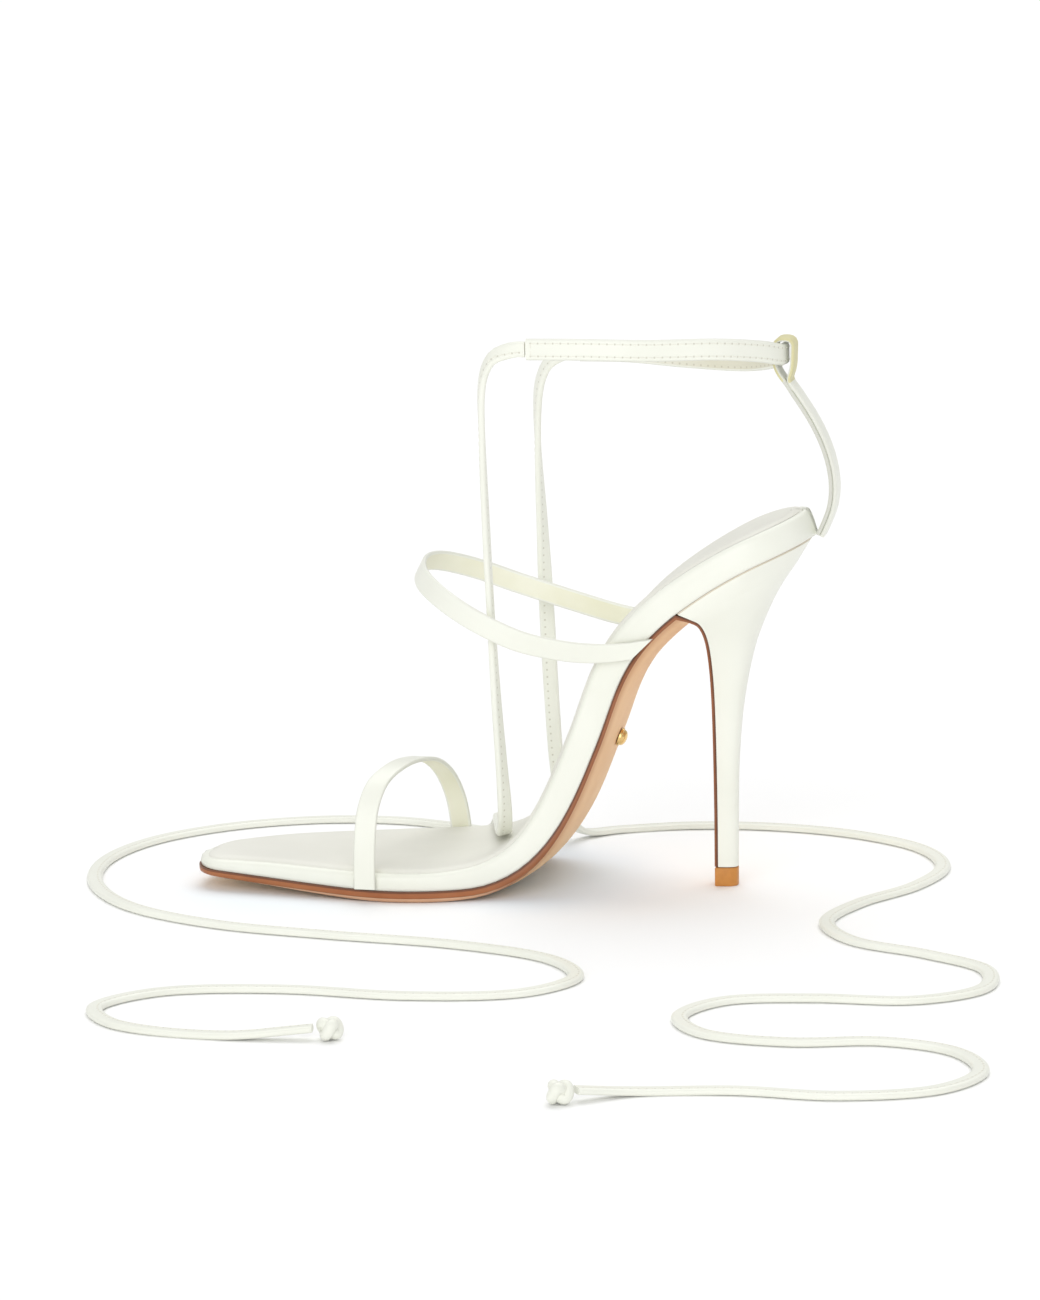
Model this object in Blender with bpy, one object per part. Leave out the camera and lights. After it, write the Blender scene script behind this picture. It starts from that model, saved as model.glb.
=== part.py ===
"""Strappy stiletto sandal for the right foot, in ivory leather on a tan leather sole.

Metres, +Z up. The toe points to -X, the heel to +X, the inner side of the foot to -Y.
The origin lies on the floor under the ball of the foot. Tables and sizes are in millimetres.
"""
import math
from bisect import bisect_right

import bmesh
import bpy
from mathutils import Vector

MM = 0.001
GAP = 0.3

# Driving sizes of the sole, heel and straps.
STATION_SPACING = 7.0
TOE_ROUND = 9.0
TOE_SQUARENESS = 2.5
SEAT_ROUND = 25.0
FOOTBED_EDGE_RADIUS = 1.8
INSOLE_INSET = 2.4
INSOLE_THICKNESS = 0.8
BREAST_ALONG = 200.0
CORNER_RUN = 5.0
CORNER_SETBACK = 1.0
FLAP_THICKNESS = 0.9
FLAP_INSET = 0.2
FLAP_BELLY = 2.6
FLAP_BELLY_END = 80.0
SEAT_INSET = 0.4
TIP_HEIGHT = 6.0
TIP_FRONT = 86.7
TIP_BACK = 93.8
TIP_HALF_WIDTH = 3.6
TIP_SQUARENESS = 3.0
STUD_ALONG = 143.5
STUD_RADIUS = 3.0
STUD_HEIGHT = 2.4
STUD_SIDES = 12
STRAP_WIDTH = 7.0
STRAP_THICKNESS = 1.4
HEEL_STRAP_WIDTH = 8.4
HEEL_STRAP_THICKNESS = 1.3
INSTEP_ALONG = 168.0
BAND_WIDTH = 6.8
BAND_THICKNESS = 2.2
TIE_WIDTH = 5.0
TIE_THICKNESS = 2.0
KNOT_RADIUS = 4.2
KNOT_FLATNESS = 0.8
KNOT_SIDES = 10
KNOT_RINGS = 7
KNOT_END_ANGLE = 12.0
FLOOR_GAP = 0.1

# Distance between the cross-sections of each strip.
TOE_STRAP_STEP = 4.0
INSTEP_STRAP_STEP = 5.0
HEEL_STRAP_STEP = 1.5
BAND_STEP = 6.0
TIE_STEP = 2.5 * TIE_WIDTH

# Side profile of the footbed's upper surface, from the tip of the toe to the back of the heel.
PROFILE = (  # x, z
    (-76.4, 9.6),
    (-50.0, 9.8),
    (-20.0, 9.1),
    (4.0, 9.2),
    (17.0, 11.4),
    (26.0, 17.0),
    (34.0, 28.5),
    (43.5, 50.5),
    (52.0, 73.0),
    (61.0, 87.0),
    (75.0, 100.0),
    (95.0, 112.8),
    (116.5, 122.0),
)

# Outline of the footbed, measured along the profile from the tip of the toe.
OUTLINE = (  # along, inner_y, outer_y
    (0.0, -32.0, -9.0),
    (20.0, -35.0, 5.4),
    (40.0, -38.6, 15.6),
    (62.0, -41.6, 25.4),
    (78.0, -40.0, 30.4),
    (90.0, -35.6, 31.0),
    (104.0, -29.6, 29.4),
    (122.0, -25.0, 26.8),
    (148.0, -22.6, 24.8),
    (172.0, -22.6, 24.4),
    (198.0, -24.6, 25.0),
    (224.0, -25.8, 25.8),
    (250.0, -25.4, 25.4),
)

# Thicknesses along the sole. Dish sinks the middle of the footbed, tuck draws in its lower edge,
# overhang is how far the outsole stands out past the footbed and belly rounds its underside.
BUILD_UP = (  # along, edge, sole, dish, tuck, overhang, belly
    (0.0, 2.6, 1.7, 0.0, 0.3, 0.5, 0.0),
    (26.0, 4.4, 2.3, 0.2, 0.3, 0.5, 0.0),
    (56.0, 5.2, 3.2, 0.3, 0.3, 0.6, 0.0),
    (80.0, 5.4, 3.4, 0.3, 0.3, 0.6, 0.6),
    (94.0, 6.8, 2.8, 0.3, 0.5, 0.3, 2.0),
    (118.0, 8.6, 1.5, 0.2, 0.8, -0.6, 2.4),
    (150.0, 9.0, 1.1, 0.2, 1.0, -1.0, 2.0),
    (172.0, 9.0, 1.1, 0.3, 1.1, -1.0, 2.9),
    (190.0, 9.0, 1.1, 0.5, 1.2, -1.0, 3.9),
    (220.0, 9.0, 1.1, 1.0, 1.8, -1.2, 4.4),
    (250.0, 8.8, 1.1, 0.8, 2.4, -1.2, 4.4),
)

# Heel, from the tip upwards: the front and back points of each section and its plan shape.
HEEL = (  # front_x, front_z, back_x, back_z, half_width, squareness
    (87.8, 6.3, 93.8, 6.3, 3.5, 3.0),
    (87.8, 22.0, 93.9, 22.0, 3.6, 3.0),
    (87.7, 38.0, 94.2, 38.0, 4.0, 2.8),
    (87.6, 54.0, 95.3, 54.0, 5.2, 2.6),
    (87.5, 66.0, 97.2, 67.0, 7.4, 2.5),
    (87.3, 75.0, 100.0, 79.0, 10.6, 2.4),
    (87.0, 81.0, 103.6, 88.4, 14.2, 2.3),
    (86.3, 85.2, 107.0, 95.4, 17.6, 2.2),
    (84.9, 88.0, 110.0, 100.2, 20.2, 2.15),
    (82.4, 89.5, 112.6, 104.0, 21.8, 2.1),
)

# Centre lines of the straps. The feet of the toe and instep straps run down the side of the footbed
# to the sole. The heel strap is doubled, and its loop holds the band.
TOE_STRAP = (  # x, y, z
    (-18.2, -42.4, 4.4),
    (-18.2, -42.5, 10.0),
    (-18.0, -42.0, 20.0),
    (-17.4, -39.6, 29.5),
    (-15.6, -33.2, 36.6),
    (-12.2, -22.0, 39.8),
    (-9.4, -9.0, 39.4),
    (-7.2, 6.0, 36.0),
    (-5.4, 18.0, 29.4),
    (-4.0, 26.6, 20.0),
    (-3.2, 30.3, 10.5),
    (-3.0, 30.7, 4.2),
)
INSTEP_STRAP = (  # x, y, z
    (67.3, -24.1, 80.0),
    (61.0, -24.4, 79.0),
    (53.5, -25.6, 78.6),
    (43.5, -28.8, 79.8),
    (29.8, -31.0, 83.0),
    (15.4, -29.0, 88.8),
    (3.4, -22.4, 94.4),
    (-5.2, -11.0, 98.4),
    (-8.0, 2.0, 100.6),
    (-5.2, 15.0, 99.6),
    (4.2, 24.8, 95.6),
    (17.2, 29.0, 90.4),
    (36.6, 28.4, 84.8),
    (52.0, 26.2, 81.2),
    (61.0, 26.2, 80.2),
    (67.8, 26.2, 80.8),
)
HEEL_STRAP = (  # x, y, z
    (120.8, 0.0, 113.8),
    (122.2, 0.0, 116.8),
    (123.4, 0.0, 119.8),
    (124.6, 0.0, 123.6),
    (125.0, 0.0, 127.5),
    (124.9, 0.0, 131.5),
    (124.2, 0.0, 135.9),
    (122.9, 0.0, 140.5),
    (121.1, 0.0, 145.0),
    (118.7, 0.0, 149.7),
    (116.0, 0.0, 154.1),
    (113.3, 0.0, 158.1),
    (110.6, 0.0, 162.2),
)
HEEL_LOOP = (  # x, y, z
    (108.0, 0.0, 164.6),
    (106.8, 0.0, 167.4),
    (106.6, 0.0, 170.4),
    (106.7, 0.0, 172.8),
    (106.9, 0.0, 174.2),
    (107.9, 0.0, 175.25),
    (109.6, 0.0, 175.5),
    (111.3, 0.0, 175.25),
    (112.3, 0.0, 174.2),
    (112.4, 0.0, 172.4),
    (112.3, 0.0, 169.8),
    (112.2, 0.0, 167.4),
    (111.8, 0.0, 165.2),
)
ANKLE_BAND = (  # x, y, z
    (34.0, -33.2, 175.3),
    (50.0, -34.0, 175.6),
    (72.0, -32.4, 175.4),
    (92.0, -25.6, 175.2),
    (104.4, -13.4, 173.0),
    (108.7, -5.0, 171.0),
    (109.6, 0.0, 170.7),
    (108.7, 5.0, 170.2),
    (104.4, 13.4, 167.4),
    (92.0, 25.0, 164.4),
    (72.0, 30.6, 164.4),
    (54.0, 31.8, 165.6),
    (38.0, 31.0, 165.8),
)

# Ties: each hangs from its end of the band, turns on the floor and lies there in open curves.
NEAR = (0.0, -1.0, 0.0)
TOEWARD = (-1.0, -0.2, 0.0)
FAR = (0.0, 1.0, 0.0)
UP = (0.0, 0.0, 1.0)
LYING = TIE_THICKNESS / 2 + FLOOR_GAP
KNOT_CENTRE = KNOT_RADIUS * KNOT_FLATNESS + FLOOR_GAP
TIE_INNER = (  # x, y, z, face
    (33.5, -33.2, 175.3, NEAR),
    (29.5, -33.2, 175.1, NEAR),
    (22.6, -31.8, 172.0, (-0.6, -0.8, 0.5)),
    (18.8, -28.6, 163.6, (-1.0, -0.5, 0.2)),
    (18.0, -25.8, 147.0, TOEWARD),
    (18.6, -24.6, 118.0, (-1.0, 0.0, 0.0)),
    (19.6, -24.0, 90.0, (-1.0, 0.0, 0.0)),
    (20.8, -23.0, 62.0, (-1.0, 0.2, 0.0)),
    (21.8, -21.0, 40.0, (-0.9, 0.4, 0.1)),
    (21.8, -17.0, 25.0, (-0.7, 0.6, 0.4)),
    (20.0, -9.6, 17.4, (-0.4, 0.4, 0.85)),
    (17.2, 1.0, 14.6, (-0.2, 0.1, 1.0)),
    (14.4, 12.0, 13.6, UP),
    (11.8, 22.6, 13.2, UP),
    (9.8, 32.0, 12.6, UP),
    (7.6, 41.0, 9.2, (0.0, 0.4, 0.9)),
    (4.0, 49.6, 4.6, (0.0, 0.3, 0.95)),
    (-2.6, 57.6, 1.8, UP),
    (-13.0, 64.4, LYING, UP),
    (-34.0, 70.0, LYING, UP),
    (-60.0, 67.0, LYING, UP),
    (-86.0, 53.0, LYING, UP),
    (-106.0, 29.0, LYING, UP),
    (-114.0, -2.0, LYING, UP),
    (-108.0, -35.0, LYING, UP),
    (-88.0, -64.0, LYING, UP),
    (-56.0, -82.0, LYING, UP),
    (-18.0, -90.0, LYING, UP),
    (22.0, -96.0, LYING, UP),
    (54.0, -109.0, LYING, UP),
    (67.0, -131.0, LYING, UP),
    (54.0, -152.0, LYING, UP),
    (22.0, -160.0, LYING, UP),
    (-16.0, -158.0, LYING, UP),
    (-50.0, -166.0, LYING, UP),
    (-65.0, -187.0, LYING, UP),
    (-52.0, -207.0, LYING, UP),
    (-20.0, -213.0, LYING, UP),
    (6.0, -210.0, KNOT_CENTRE, UP),
)
TIE_OUTER = (  # x, y, z, face
    (37.5, 31.0, 165.8, NEAR),
    (33.5, 31.0, 165.5, NEAR),
    (27.2, 32.2, 161.4, (-0.6, -0.8, 0.5)),
    (23.8, 33.6, 152.8, (-1.0, -0.7, 0.2)),
    (23.0, 35.4, 135.0, TOEWARD),
    (23.8, 37.4, 105.0, (-0.9, 0.5, 0.0)),
    (24.6, 39.4, 75.0, (-0.3, 1.0, 0.0)),
    (25.4, 41.4, 48.0, FAR),
    (26.4, 44.0, 26.0, FAR),
    (28.2, 49.0, 10.0, (0.2, 1.0, 0.6)),
    (32.0, 57.0, 2.6, (0.2, 0.3, 1.0)),
    (43.0, 68.0, LYING, UP),
    (65.0, 77.0, LYING, UP),
    (92.0, 79.0, LYING, UP),
    (120.0, 72.0, LYING, UP),
    (144.0, 55.0, LYING, UP),
    (155.0, 30.0, LYING, UP),
    (150.0, 2.0, LYING, UP),
    (136.0, -24.0, LYING, UP),
    (130.0, -50.0, LYING, UP),
    (142.0, -73.0, LYING, UP),
    (166.0, -86.0, LYING, UP),
    (186.0, -102.0, LYING, UP),
    (188.0, -126.0, LYING, UP),
    (170.0, -142.0, LYING, UP),
    (141.0, -144.0, LYING, UP),
    (116.0, -151.0, LYING, UP),
    (106.0, -171.0, LYING, UP),
    (117.0, -190.0, LYING, UP),
    (142.0, -195.0, LYING, UP),
    (168.0, -190.0, LYING, UP),
    (190.0, -198.0, LYING, UP),
    (200.0, -219.0, LYING, UP),
    (190.0, -240.0, LYING, UP),
    (164.0, -250.0, LYING, UP),
    (136.0, -249.0, LYING, UP),
    (110.0, -254.0, LYING, UP),
    (94.0, -264.0, KNOT_CENTRE, UP),
)


# Curves and tables

def smooth_row(rows, at):
    """Read a table at a value of its first column, smoothly between its rows."""
    keys = [row[0] for row in rows]
    i = min(max(bisect_right(keys, at) - 1, 0), len(rows) - 2)
    span = keys[i + 1] - keys[i]
    t = min(max((at - keys[i]) / span, 0.0), 1.0)

    def slope(k, column):
        before = max(k - 1, 0)
        after = min(k + 1, len(rows) - 1)
        return (rows[after][column] - rows[before][column]) / (keys[after] - keys[before])

    values = []
    for column in range(1, len(rows[0])):
        start, end = rows[i][column], rows[i + 1][column]
        lead = slope(i, column) * span
        trail = slope(i + 1, column) * span
        values.append(
            (2 * t ** 3 - 3 * t ** 2 + 1) * start
            + (t ** 3 - 2 * t ** 2 + t) * lead
            + (3 * t ** 2 - 2 * t ** 3) * end
            + (t ** 3 - t ** 2) * trail
        )
    return values


class Path:
    """Smooth curve through points, read by the distance along it."""

    def __init__(self, points, samples=24):
        knots = [0.0]
        for a, b in zip(points, points[1:]):
            knots.append(knots[-1] + (Vector(b[:3]) - Vector(a[:3])).length)
        rows = [(k, *p) for k, p in zip(knots, points)]
        count = samples * (len(points) - 1)
        self.rows = [smooth_row(rows, knots[-1] * i / count) for i in range(count + 1)]
        self.along = [0.0]
        for a, b in zip(self.rows, self.rows[1:]):
            self.along.append(self.along[-1] + (Vector(b[:3]) - Vector(a[:3])).length)
        self.length = self.along[-1]

    def at(self, along):
        """All columns at a distance along the curve, carried on straight past its ends."""
        i = min(max(bisect_right(self.along, along) - 1, 0), len(self.rows) - 2)
        t = (along - self.along[i]) / (self.along[i + 1] - self.along[i])
        return [a + (b - a) * t for a, b in zip(self.rows[i], self.rows[i + 1])]

    def tangent(self, along):
        before = Vector(self.at(along - 0.5)[:3])
        after = Vector(self.at(along + 0.5)[:3])
        return (after - before).normalized()


LAST = Path([(x, 0.0, z) for x, z in PROFILE])


def on_last(along, y, height):
    """Bend a flat pattern onto the last: height is measured square to the footbed's surface."""
    tangent = LAST.tangent(along)
    normal = Vector((-tangent.z, 0.0, tangent.x))
    return Vector(LAST.at(along)) + normal * height + Vector((0.0, y, 0.0))


# Stations along the sole: where each cross-section lies, for any inset of the outline

END_ANGLES = [math.radians(angle) for angle in (6, 18, 32, 48, 68, 90)]


def sole_stations(spacing, last_along):
    """Cross-sections close together round the toe, then evenly spaced."""
    stations = [("toe", angle) for angle in END_ANGLES]
    count = round((last_along - TOE_ROUND) / spacing)
    step = (last_along - TOE_ROUND) / count
    stations += [("run", TOE_ROUND + step * i) for i in range(1, count + 1)]
    return stations


def footbed_stations(spacing):
    seat = [("seat", angle) for angle in reversed(END_ANGLES)]
    return sole_stations(spacing, LAST.length - SEAT_ROUND)[:-1] + seat


def rim(station, inset):
    """Distance along the last and the inner and outer edge of the outline, drawn in by inset."""
    kind, value = station
    roundness = 1.0
    along = value
    if kind == "toe":
        along = inset + (TOE_ROUND - inset) * (1 - math.cos(value))
        roundness = (1 - math.cos(value) ** TOE_SQUARENESS) ** (1 / TOE_SQUARENESS)
    elif kind == "seat":
        along = LAST.length - inset - (SEAT_ROUND - inset) * (1 - math.cos(value))
        roundness = math.sin(value)
    inner, outer = smooth_row(OUTLINE, along)
    middle = (inner + outer) / 2
    half = ((outer - inner) / 2 - inset) * roundness
    return along, middle - half, middle + half


def build_up(along):
    names = ("edge", "sole", "dish", "tuck", "overhang", "belly")
    return dict(zip(names, smooth_row(BUILD_UP, along)))


# Mesh helpers

def material(name, colour, roughness, metallic=0.0):
    made = bpy.data.materials.new(name)
    made.use_nodes = True
    shader = made.node_tree.nodes["Principled BSDF"]
    shader.inputs["Base Color"].default_value = (*colour, 1.0)
    shader.inputs["Roughness"].default_value = roughness
    shader.inputs["Metallic"].default_value = metallic
    return made


def add_object(name, mesh, finish):
    """Put a finished bmesh into the scene with its faces turned outward."""
    bmesh.ops.remove_doubles(mesh, verts=mesh.verts, dist=0.00001)
    bmesh.ops.recalc_face_normals(mesh, faces=mesh.faces)
    data = bpy.data.meshes.new(name)
    mesh.to_mesh(data)
    mesh.free()
    data.shade_smooth()
    data.set_sharp_from_angle(angle=math.radians(40))
    data.materials.append(finish)
    made = bpy.data.objects.new(name, data)
    bpy.context.collection.objects.link(made)
    return made


def loft(loops):
    """Skin a row of closed loops with equal counts and close both ends."""
    mesh = bmesh.new()
    rings = [[mesh.verts.new(point * MM) for point in loop] for loop in loops]
    for ring, following in zip(rings, rings[1:]):
        for i in range(len(ring)):
            j = (i + 1) % len(ring)
            mesh.faces.new((ring[i], ring[j], following[j], following[i]))
    mesh.faces.new(rings[0])
    mesh.faces.new(rings[-1])
    return mesh


# Footbed, insole and outsole

def footbed_loop(station):
    along = rim(station, 0.0)[0]
    size = build_up(along)
    half = (rim(station, 0.0)[2] - rim(station, 0.0)[1]) / 2
    radius = min(FOOTBED_EDGE_RADIUS, 0.45 * half)
    tuck = min(size["tuck"], 0.45 * half)
    wall = (  # inset, height
        (tuck, -size["edge"]),
        (0.3 * tuck, 0.85 - size["edge"]),
        (0.0, -0.5 * size["edge"]),
        (0.0, -radius),
        (0.3 * radius, -0.3 * radius),
        (radius, 0.0),
    )
    edges = [(rim(station, inset), height) for inset, height in wall]
    inner = [on_last(place[0], place[1], height) for place, height in edges]
    outer = [on_last(place[0], place[2], height) for place, height in edges]
    along, low, high = rim(station, radius)
    top = [
        on_last(along, low + (high - low) * share, -size["dish"] * 4 * share * (1 - share))
        for share in (0.25, 0.5, 0.75)
    ]
    return inner + top + outer[::-1]


def make_footbed(finish):
    mesh = loft([footbed_loop(station) for station in footbed_stations(STATION_SPACING)])
    return add_object("footbed", mesh, finish)


def insole_loop(station):
    along, low, high = rim(station, INSOLE_INSET)
    dish = build_up(along)["dish"]
    shares = (0.0, 0.25, 0.5, 0.75, 1.0)

    def layer(height):
        return [
            on_last(along, low + (high - low) * share, height - dish * 4 * share * (1 - share))
            for share in shares
        ]

    return layer(GAP) + layer(GAP + INSOLE_THICKNESS)[::-1]


def make_insole(finish):
    mesh = loft([insole_loop(station) for station in footbed_stations(STATION_SPACING)])
    return add_object("insole", mesh, finish)


def sheet_loop(place, low, high, thickness, belly):
    """Cross-section of the outsole: flat inner face, rounded edges and a belly underneath."""
    corner = min(0.45 * thickness, 0.3 * (high - low))
    section = [(low, 0.0), (low, 0.5 * thickness), (low + corner, thickness)]
    for share in (0.25, 0.5, 0.75):
        section.append((low + (high - low) * share, thickness + belly * 4 * share * (1 - share)))
    section += [(high - corner, thickness), (high, 0.5 * thickness), (high, 0.0)]
    return [place(y, depth) for y, depth in section]


def outsole_loop(station):
    along = rim(station, 0.0)[0]
    size = build_up(along)
    along, low, high = rim(station, -size["overhang"])

    def place(y, depth):
        point = on_last(along, y, -size["edge"] - GAP - depth)
        point.z = max(point.z, 0.0)
        return point

    return sheet_loop(place, low, high, size["sole"], size["belly"])


def breast_normal(before, after):
    """Direction square to the heel's front line, away from the heel, on the way down."""
    run = (after - before).normalized()
    return Vector((run.z, 0.0, -run.x))


def flap_belly(height):
    """The belly of the shank runs out down the top of the heel's front."""
    share = max((height - FLAP_BELLY_END) / (HEEL[-1][1] - FLAP_BELLY_END), 0.0)
    return FLAP_BELLY * share ** 2


def flap_loops(lip):
    """The outsole goes on down the front of the heel, below the lip, as a thin flap."""
    sections = HEEL[::-1]
    fronts = [Vector((row[0], 0.0, row[1])) for row in sections]
    befores = [lip] + fronts[:-1]
    afters = fronts[1:] + fronts[-1:]
    loops = []
    for row, front, before, after in zip(sections, fronts, befores, afters):
        normal = breast_normal(before, after)
        half = row[4] - FLAP_INSET

        def place(y, depth):
            return front + normal * (GAP + depth) + Vector((0.0, y, 0.0))

        loops.append(sheet_loop(place, -half, half, FLAP_THICKNESS, flap_belly(front.z)))
    return loops


def make_outsole(finish):
    stations = sole_stations(STATION_SPACING, BREAST_ALONG - CORNER_RUN)
    loops = [outsole_loop(station) for station in stations]
    along = BREAST_ALONG - CORNER_SETBACK
    size = build_up(along)
    along, low, high = rim(("run", along), -size["overhang"])
    lip = on_last(along, 0.0, -size["edge"] - GAP)
    shank_normal = lip - on_last(along, 0.0, -size["edge"])
    shank_normal.normalize()
    front = Vector((HEEL[-1][0], 0.0, HEEL[-1][1]))
    corner_normal = (shank_normal + breast_normal(lip, front)).normalized()
    mitre = 1 / corner_normal.dot(shank_normal)

    def place(y, depth):
        return lip + corner_normal * depth * mitre + Vector((0.0, y, 0.0))

    loops.append(sheet_loop(place, low, high, size["sole"], size["belly"]))
    loops += flap_loops(lip)
    return add_object("outsole", loft(loops), finish)


# Heel

SECTION_SHARES = (0.0, 0.16, 0.34, 0.52, 0.68, 0.81, 0.91, 0.975, 1.0)


def heel_pairs(front, back, half_width, squareness):
    """Left and right points of a section, from its straight front edge to its round back."""
    pairs = []
    for share in SECTION_SHARES:
        point = front + (back - front) * share
        y = half_width * max(1 - share ** squareness, 0.0) ** (1 / squareness)
        pairs.append((point + Vector((0.0, -y, 0.0)), point + Vector((0.0, y, 0.0))))
    return pairs


def seat_pairs():
    """Top section of the heel, laid against the underside of the footbed."""
    pairs = []
    end = LAST.length - build_up(LAST.length)["tuck"] - SEAT_INSET
    for share in SECTION_SHARES:
        along = BREAST_ALONG + (end - BREAST_ALONG) * share
        size = build_up(along)
        inset = size["tuck"] + SEAT_INSET
        inner, outer = smooth_row(OUTLINE, along)
        reach = max(along - (LAST.length - SEAT_ROUND), 0.0) / (SEAT_ROUND - inset)
        half = ((outer - inner) / 2 - inset) * max(1 - reach ** 2, 0.0) ** 0.5
        height = -size["edge"] - GAP
        pairs.append((on_last(along, -half, height), on_last(along, half, height)))
    return pairs


def make_heel(finish):
    sections = [
        heel_pairs(Vector((fx, 0, fz)), Vector((bx, 0, bz)), half, squareness)
        for fx, fz, bx, bz, half, squareness in HEEL
    ]
    sections.append(seat_pairs())
    mesh = bmesh.new()
    rings = []
    for pairs in sections:
        left = [mesh.verts.new(pair[0] * MM) for pair in pairs]
        right = [mesh.verts.new(pair[1] * MM) for pair in pairs[:-1]] + [left[-1]]
        rings.append((left, right))
    for (left, right), (left_up, right_up) in zip(rings, rings[1:]):
        mesh.faces.new((left[0], right[0], right_up[0], left_up[0]))
        for i in range(len(left) - 1):
            mesh.faces.new((left[i], left[i + 1], left_up[i + 1], left_up[i]))
            mesh.faces.new((right[i], right[i + 1], right_up[i + 1], right_up[i]))
    for left, right in (rings[0], rings[-1]):
        for i in range(len(left) - 2):
            mesh.faces.new((left[i], left[i + 1], right[i + 1], right[i]))
        mesh.faces.new((left[-2], left[-1], right[-2]))
    return add_object("heel", mesh, finish)


def make_heel_tip(finish):
    """Top piece under the heel: a small D in plan that stands flat on the floor."""
    front = Vector((TIP_FRONT, 0.0, 0.0))
    back = Vector((TIP_BACK, 0.0, 0.0))
    pairs = heel_pairs(front, back, TIP_HALF_WIDTH, TIP_SQUARENESS)
    ring = [pair[0] for pair in pairs] + [pair[1] for pair in pairs[-2::-1]]
    top = [point + Vector((0.0, 0.0, TIP_HEIGHT)) for point in ring]
    return add_object("heel_tip", loft([ring, top]), finish)


def make_stud(finish):
    """Plain domed stud on the underside of the shank."""
    size = build_up(STUD_ALONG)
    base = -size["edge"] - GAP - size["sole"] - size["belly"] - GAP
    profile = (  # share of radius, share of height
        (1.0, 0.0),
        (1.0, 0.3),
        (0.86, 0.66),
        (0.55, 0.92),
        (0.2, 1.0),
    )
    centre = on_last(STUD_ALONG, 0.0, base)
    tangent = LAST.tangent(STUD_ALONG)
    down = Vector((tangent.z, 0.0, -tangent.x))
    loops = []
    for radius, height in profile:
        loop = []
        for i in range(STUD_SIDES):
            angle = 2 * math.pi * i / STUD_SIDES
            across = tangent * math.cos(angle) + Vector((0.0, math.sin(angle), 0.0))
            loop.append(centre + across * radius * STUD_RADIUS + down * height * STUD_HEIGHT)
        loops.append(loop)
    return add_object("sole_stud", loft(loops), finish)


# Straps, band and ties: flat strips swept along a path

def strip_loop(centre, width, face, half_width, half_thickness):
    """Flat section with softened corners."""
    soft = 0.55 * half_thickness
    section = (
        (-half_width, -half_thickness + soft),
        (-half_width, half_thickness - soft),
        (-half_width + soft, half_thickness),
        (half_width - soft, half_thickness),
        (half_width, half_thickness - soft),
        (half_width, -half_thickness + soft),
        (half_width - soft, -half_thickness),
        (-half_width + soft, -half_thickness),
    )
    return [centre + width * across + face * out for across, out in section]


def sweep(name, rows, spacing, width, thickness, width_at, finish):
    """Sweep a strip along rows; width_at gives the direction of its width at each place."""
    path = Path(rows)
    count = round(path.length / spacing)
    loops = []
    for i in range(count + 1):
        along = path.length * i / count
        place = path.at(along)
        tangent = path.tangent(along)
        across = width_at(along / path.length, tangent, place)
        face = tangent.cross(across).normalized()
        loops.append(strip_loop(Vector(place[:3]), across, face, width / 2, thickness / 2))
    return add_object(name, loft(loops), finish)


def make_toe_strap(finish):
    def width_at(share, tangent, place):
        return Vector((1.0, 0.0, 0.0))

    return sweep(
        "toe_strap", TOE_STRAP, TOE_STRAP_STEP, STRAP_WIDTH, STRAP_THICKNESS, width_at, finish
    )


def make_instep_strap(finish):
    slope = LAST.tangent(INSTEP_ALONG)

    def width_at(share, tangent, place):
        return slope

    return sweep(
        "instep_strap", INSTEP_STRAP, INSTEP_STRAP_STEP, STRAP_WIDTH, STRAP_THICKNESS, width_at, finish
    )


def doubled_rows(middle, loop, shift):
    """Route of a doubled strap: up inside its middle line, round the loop and down outside it."""
    path = Path(middle)
    count = len(middle) - 1
    up = []
    down = []
    for i in range(count + 1):
        along = path.length * i / count
        place = Vector(path.at(along))
        tangent = path.tangent(along)
        outward = Vector((tangent.z, 0.0, -tangent.x))
        up.append(tuple(place - outward * shift))
        down.append(tuple(place + outward * shift))
    return up + list(loop) + down[::-1]


def make_heel_strap(finish):
    def width_at(share, tangent, place):
        return Vector((0.0, 1.0, 0.0))

    rows = doubled_rows(HEEL_STRAP, HEEL_LOOP, (HEEL_STRAP_THICKNESS + GAP) / 2)
    return sweep(
        "heel_strap", rows, HEEL_STRAP_STEP, HEEL_STRAP_WIDTH, HEEL_STRAP_THICKNESS, width_at, finish
    )


def make_ankle_band(finish):
    def width_at(share, tangent, place):
        upright = Vector((0.0, 0.0, 1.0))
        return (upright - tangent * tangent.z).normalized()

    return sweep("ankle_band", ANKLE_BAND, BAND_STEP, BAND_WIDTH, BAND_THICKNESS, width_at, finish)


def make_tie(name, rows, finish):
    """A tie turns as it falls: its face follows the route's own face column."""
    flat_rows = [(x, y, z, *face) for x, y, z, face in rows]

    def width_at(share, tangent, place):
        return Vector(place[3:6]).cross(tangent).normalized()

    return sweep(name, flat_rows, TIE_STEP, TIE_WIDTH, TIE_THICKNESS, width_at, finish)


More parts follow.
